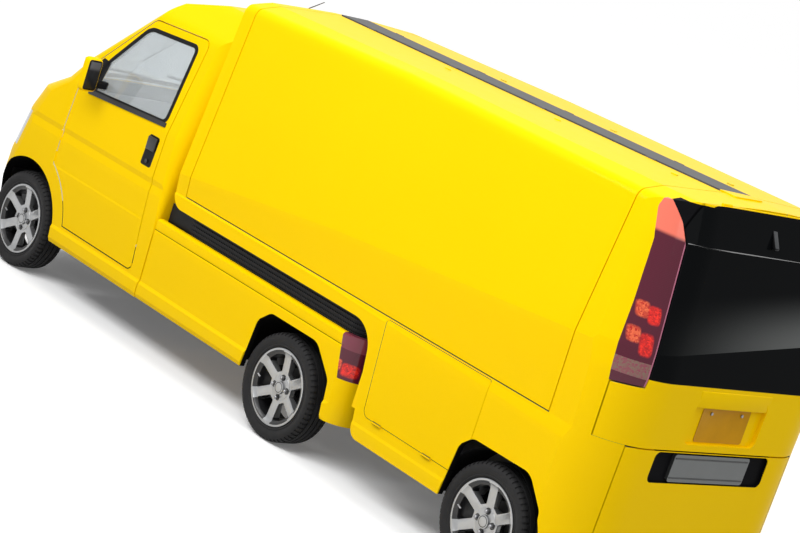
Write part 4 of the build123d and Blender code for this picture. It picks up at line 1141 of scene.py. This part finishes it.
head = slab("mirror_shell_left", MIRROR_SIZE, MIRROR_HEAD, MIRROR_ROUND, 5)
with editing(head):
    choose(head, "VERT", lambda vert: vert.co.x > MIRROR_HEAD.x + HEAD_FRONT)
    bpy.ops.transform.resize(value=HEAD_TAPER, center_override=MIRROR_HEAD)
    choose(head, "FACE", lambda face: face.normal.x < -0.99 and face.calc_area() > 0.003)
    bpy.ops.mesh.inset(thickness=0.004)
    bpy.ops.transform.translate(value=(0.003, 0.0, 0.0))
arm = slab("mirror_arm", ARM_SIZE, ARM_PLACE, 0.010)
head = joined("mirror_shell_left", [head, arm])
for side, shell in zip(SIDES, paired(head, mirror_shell, "door_left")):
    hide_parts(f"mirror_{side}")
mirror_glass = slab("mirror_glass_left", GLASS_SIZE, GLASS_PLACE, 0.0018)
paired(mirror_glass, mirror_silver, "door_left")
print("mirror shells and glasses on both doors")

# %% Door pulls
PULL_SIZE = (0.076, 0.014, 0.072)
PULL_PLACE = (1.0485, 0.7325, 1.028)
KEY_PLACE = (1.048, 0.7340, 0.934)

pull = slab("door_pull_left", PULL_SIZE, PULL_PLACE, 0.006)
key = started("key_barrel", bpy.ops.mesh.primitive_cylinder_add, vertices=20, radius=0.011, depth=0.010,
              location=KEY_PLACE, rotation=(math.pi / 2, 0.0, 0.0))
settled(key)
with editing(key):
    choose(key, "FACE", lambda face: face.normal.y > 0.9)
    bpy.ops.mesh.inset(thickness=0.003)
    bpy.ops.transform.translate(value=(0.0, -0.002, 0.0))
pull = joined("door_pull_left", [pull, key])
paired(pull, black_trim, "door_left")
print("a pull and a key barrel on each door")

# %% Aerial
AERIAL_FOOT = Vector((1.1980, 0.0, 1.7960))
AERIAL_TIP = Vector((0.9260, 0.0, 1.9610))
FOOT_SIZE = (0.070, 0.036, 0.022)
FOOT_PLACE = (1.2040, 0.0, 1.8060)

aerial_run = AERIAL_TIP - AERIAL_FOOT
rod = started("aerial", bpy.ops.mesh.primitive_cone_add, vertices=16, radius1=0.0042, radius2=0.0022,
              depth=aerial_run.length, location=(AERIAL_FOOT + AERIAL_TIP) / 2,
              rotation=aerial_run.to_track_quat("Z", "Y").to_euler())
settled(rod)
foot = slab("aerial_foot", FOOT_SIZE, FOOT_PLACE, 0.009)
finished(joined("aerial", [rod, foot]), black_trim, "truck")
print("aerial", round(aerial_run.length, 3), "m long")

# %% Studs beside the roof strip
STUD_SIZE = (0.036, 0.014, 0.006)
STUD_X = (-0.322, -1.122, -1.896)
STUD_Y = 0.197
STUD_Z = 1.9490

studs = [slab("stud", STUD_SIZE, (x, STUD_Y, STUD_Z), 0.0025) for x in STUD_X]
paired(joined("wing_studs_left", studs), wing_paint, "wing_left")
print("studs on each wing:", len(STUD_X))

# %% [markdown]
# ## Wheel arches, windscreen and wipers
#
# Behind the middle and rear wheels a pressed black panel closes the arch, so that no daylight shows
# through. The windscreen has a black printed border and two wipers, which are flat outlines pressed on to
# the glass.

# %% Inner arches
ARCH_RADIUS = {"middle": 0.360, "rear": 0.322}
ARCH_FOOT = 0.272
ARCH_INNER = 0.500
ARCH_OUTER = 0.705
ARCH_STEPS = 24

arch_lining = Finish("arch_lining", (0.0035, 0.0035, 0.004), Specular_IOR_Level=0.05)
arch_lining.feed("Base Color", arch_lining.shade(0.4, 20.0, 5.0))
arch_lining.gloss(30.0, 0.1, 0.8)
arch_lining.grain(260.0, 4.0, 0.0006, 0.4)

for axle, radius in ARCH_RADIUS.items():
    start = math.asin((ARCH_FOOT - HUB_HEIGHT) / radius)
    turns = [start + (math.pi - 2 * start) * i / (ARCH_STEPS - 1) for i in range(ARCH_STEPS)]
    rows = [(AXLE_X[axle] + radius * math.cos(turn), HUB_HEIGHT + radius * math.sin(turn)) for turn in turns]
    arch = ring_of(f"inner_arch_{axle}_left", [(x, ARCH_INNER, z) for x, z in rows])
    with editing(arch):
        bpy.ops.mesh.select_all(action="SELECT")
        bpy.ops.mesh.edge_face_add()
        depth = (0.0, ARCH_OUTER - ARCH_INNER, 0.0)
        bpy.ops.mesh.extrude_region_move(TRANSFORM_OT_translate={"value": depth})
        bpy.ops.mesh.select_all(action="SELECT")
        bpy.ops.mesh.normals_make_consistent(inside=False)
        choose(arch, "FACE", lambda face: face.normal.z < -0.9 or face.normal.y > 0.9)
        bpy.ops.mesh.delete(type="FACE")
        choose(arch, "FACE", lambda face: face.normal.y < -0.9)
        bpy.ops.mesh.inset(thickness=0.030)
        bpy.ops.transform.translate(value=(0.0, -0.012, 0.0))
    applied(arch, "SOLIDIFY", thickness=0.003, offset=0.0)
    paired(arch, arch_lining, "truck")
print("inner arches behind four wheels")

# %% Windscreen border and wipers
SCREEN_ROWS = ((-0.578, 1.134), (0.578, 1.134), (0.504, 1.628), (-0.504, 1.628))
WIPER_ROWS = (((0.06, 1.158), (0.50, 1.196), (0.499, 1.206), (0.059, 1.168)),
              ((-0.46, 1.158), (-0.02, 1.196), (-0.021, 1.206), (-0.461, 1.168)))
AHEAD_OF_VAN = 3.0

screen = [nodes["windscreen"], nodes["cab_shell"]]
screen_edge = laid("screen_border", SCREEN_ROWS, 0.055, "X", AHEAD_OF_VAN, screen, band=0.028,
                   thick=0.002, lift=0.0006)
finished(screen_edge, black_trim, "truck")
wipers = [laid("wiper", rows, 0.0, "X", AHEAD_OF_VAN, screen, thick=0.010, lift=0.008)
          for rows in WIPER_ROWS]
finished(joined("wipers", wipers), black_trim, "truck")
print("windscreen border and wipers")

# %% [markdown]
# ## Seats
#
# Each seat is a hard base with three sewn pads: cushion, back and head rest. A pad starts as a rounded
# block a little smaller than the real pad, is remeshed evenly and then blown up by air pressure in a
# cloth simulation, with each point held within about two centimetres of its start. Two sewn channels are
# pressed in afterwards, but not in the head rest. The left seat is made once and copied to the right.

# %% Seat cloth
WARP = 260.0
WEFT = 180.0
THREAD_LIGHT = (0.11, 0.12, 0.12, 1.0)

seat_cloth = Finish("seat_cloth", (0.060, 0.066, 0.066), Specular_IOR_Level=0.2, Sheen_Weight=0.25)
thread = seat_cloth.wave("Y", WARP) * 0.5 + seat_cloth.wave("DIAGONAL", WEFT) * 0.5
lit = thread * seat_cloth.noise(35.0, 5.0)
seat_cloth.feed("Base Color", seat_cloth.mix(lit, seat_cloth.colour, THREAD_LIGHT))
seat_cloth.gloss(60.0, 0.1, 0.82)
seat_cloth.bump(thread, 0.0008, 0.5)
print("seat cloth woven")

# %% Seat pads
SEAT_Y = 0.33
SEAT_PADS = (
    # name, size, place, lean in degrees, channel spread
    ("seat_cushion", (0.43, 0.440, 0.105), (FRONT_AXLE - 0.800, SEAT_Y, 0.662), -4.0, 0.110),
    ("seat_back", (0.085, 0.440, 0.450), (FRONT_AXLE - 1.048, SEAT_Y, 0.950), -7.5, 0.110),
    ("head_rest", (0.062, 0.230, 0.105), (FRONT_AXLE - 1.092, SEAT_Y, 1.258), -7.5, 0.0),
)
PAD_VOXEL = 0.006
PAD_PRESSURE = 4.0
PAD_CAP = 0.022
PAD_FRAMES = 20
PAD_ROUND = 0.030
CHANNEL_DEPTH = 0.006
CHANNEL_WIDTH = 0.009


def puffed(piece):
    """Blow a pad up by air pressure and hold each point near its start."""
    piece.data.remesh_voxel_size = PAD_VOXEL
    only(piece)
    bpy.ops.object.voxel_remesh()
    starts = [vertex.co.copy() for vertex in piece.data.vertices]
    cloth = piece.modifiers.new("cloth", "CLOTH")
    cloth.settings.use_pressure = True
    cloth.settings.uniform_pressure_force = PAD_PRESSURE
    cloth.settings.effector_weights.gravity = 0.0
    for number in range(1, PAD_FRAMES + 1):
        bpy.context.scene.frame_set(number)
    bpy.ops.object.modifier_apply(modifier=cloth.name)
    bpy.context.scene.frame_set(1)
    for vertex, start in zip(piece.data.vertices, starts):
        move = vertex.co - start
        vertex.co = start + move * min(1.0, PAD_CAP / max(move.length, 1e-9))


def sewn(piece, spread):
    """Press two sewn channels into a pad."""
    normals = [vertex.normal.copy() for vertex in piece.data.vertices]
    for vertex, normal in zip(piece.data.vertices, normals):
        near = abs(abs(vertex.co.y - SEAT_Y) - spread)
        vertex.co -= normal * CHANNEL_DEPTH * math.exp(-(near / CHANNEL_WIDTH) ** 2)


for name, size, place, lean, spread in SEAT_PADS:
    pad = slab(f"{name}_left", size, place, PAD_ROUND, 4)
    with editing(pad):
        bpy.ops.mesh.select_all(action="SELECT")
        bpy.ops.transform.rotate(value=-math.radians(lean), orient_axis="Y", center_override=place)
    puffed(pad)
    if spread:
        sewn(pad, spread)
    applied(pad, "SUBSURF", levels=1, render_levels=1)
    for shown in paired(pad, seat_cloth, "truck", 60.0):
        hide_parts("seats")
    print(name, len(pad.data.polygons), "faces")

# %% Seat bases and head rest posts
BASE_SIZE = (0.450, 0.430, 0.150)
BASE_PLACE = (FRONT_AXLE - 0.850, SEAT_Y, 0.527)
POST_X = FRONT_AXLE - 1.084
POST_Z = 1.195
POST_SPREAD = 0.06
POST_LEAN = math.radians(-7.5)

parts = [slab("seat_base_left", BASE_SIZE, BASE_PLACE, 0.018)]
for offset in (-POST_SPREAD, POST_SPREAD):
    post = started("post", bpy.ops.mesh.primitive_cylinder_add, vertices=12, radius=0.006, depth=0.12,
                   location=(POST_X, SEAT_Y + offset, POST_Z), rotation=(0.0, POST_LEAN, 0.0))
    settled(post)
    with editing(post):
        choose(post, "FACE", lambda face: len(face.verts) > 4)
        bpy.ops.mesh.inset(thickness=0.002)
    parts.append(post)
for shown in paired(joined("seat_base_left", parts), black_trim, "truck"):
    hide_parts("seats")
print("seat bases: 2")
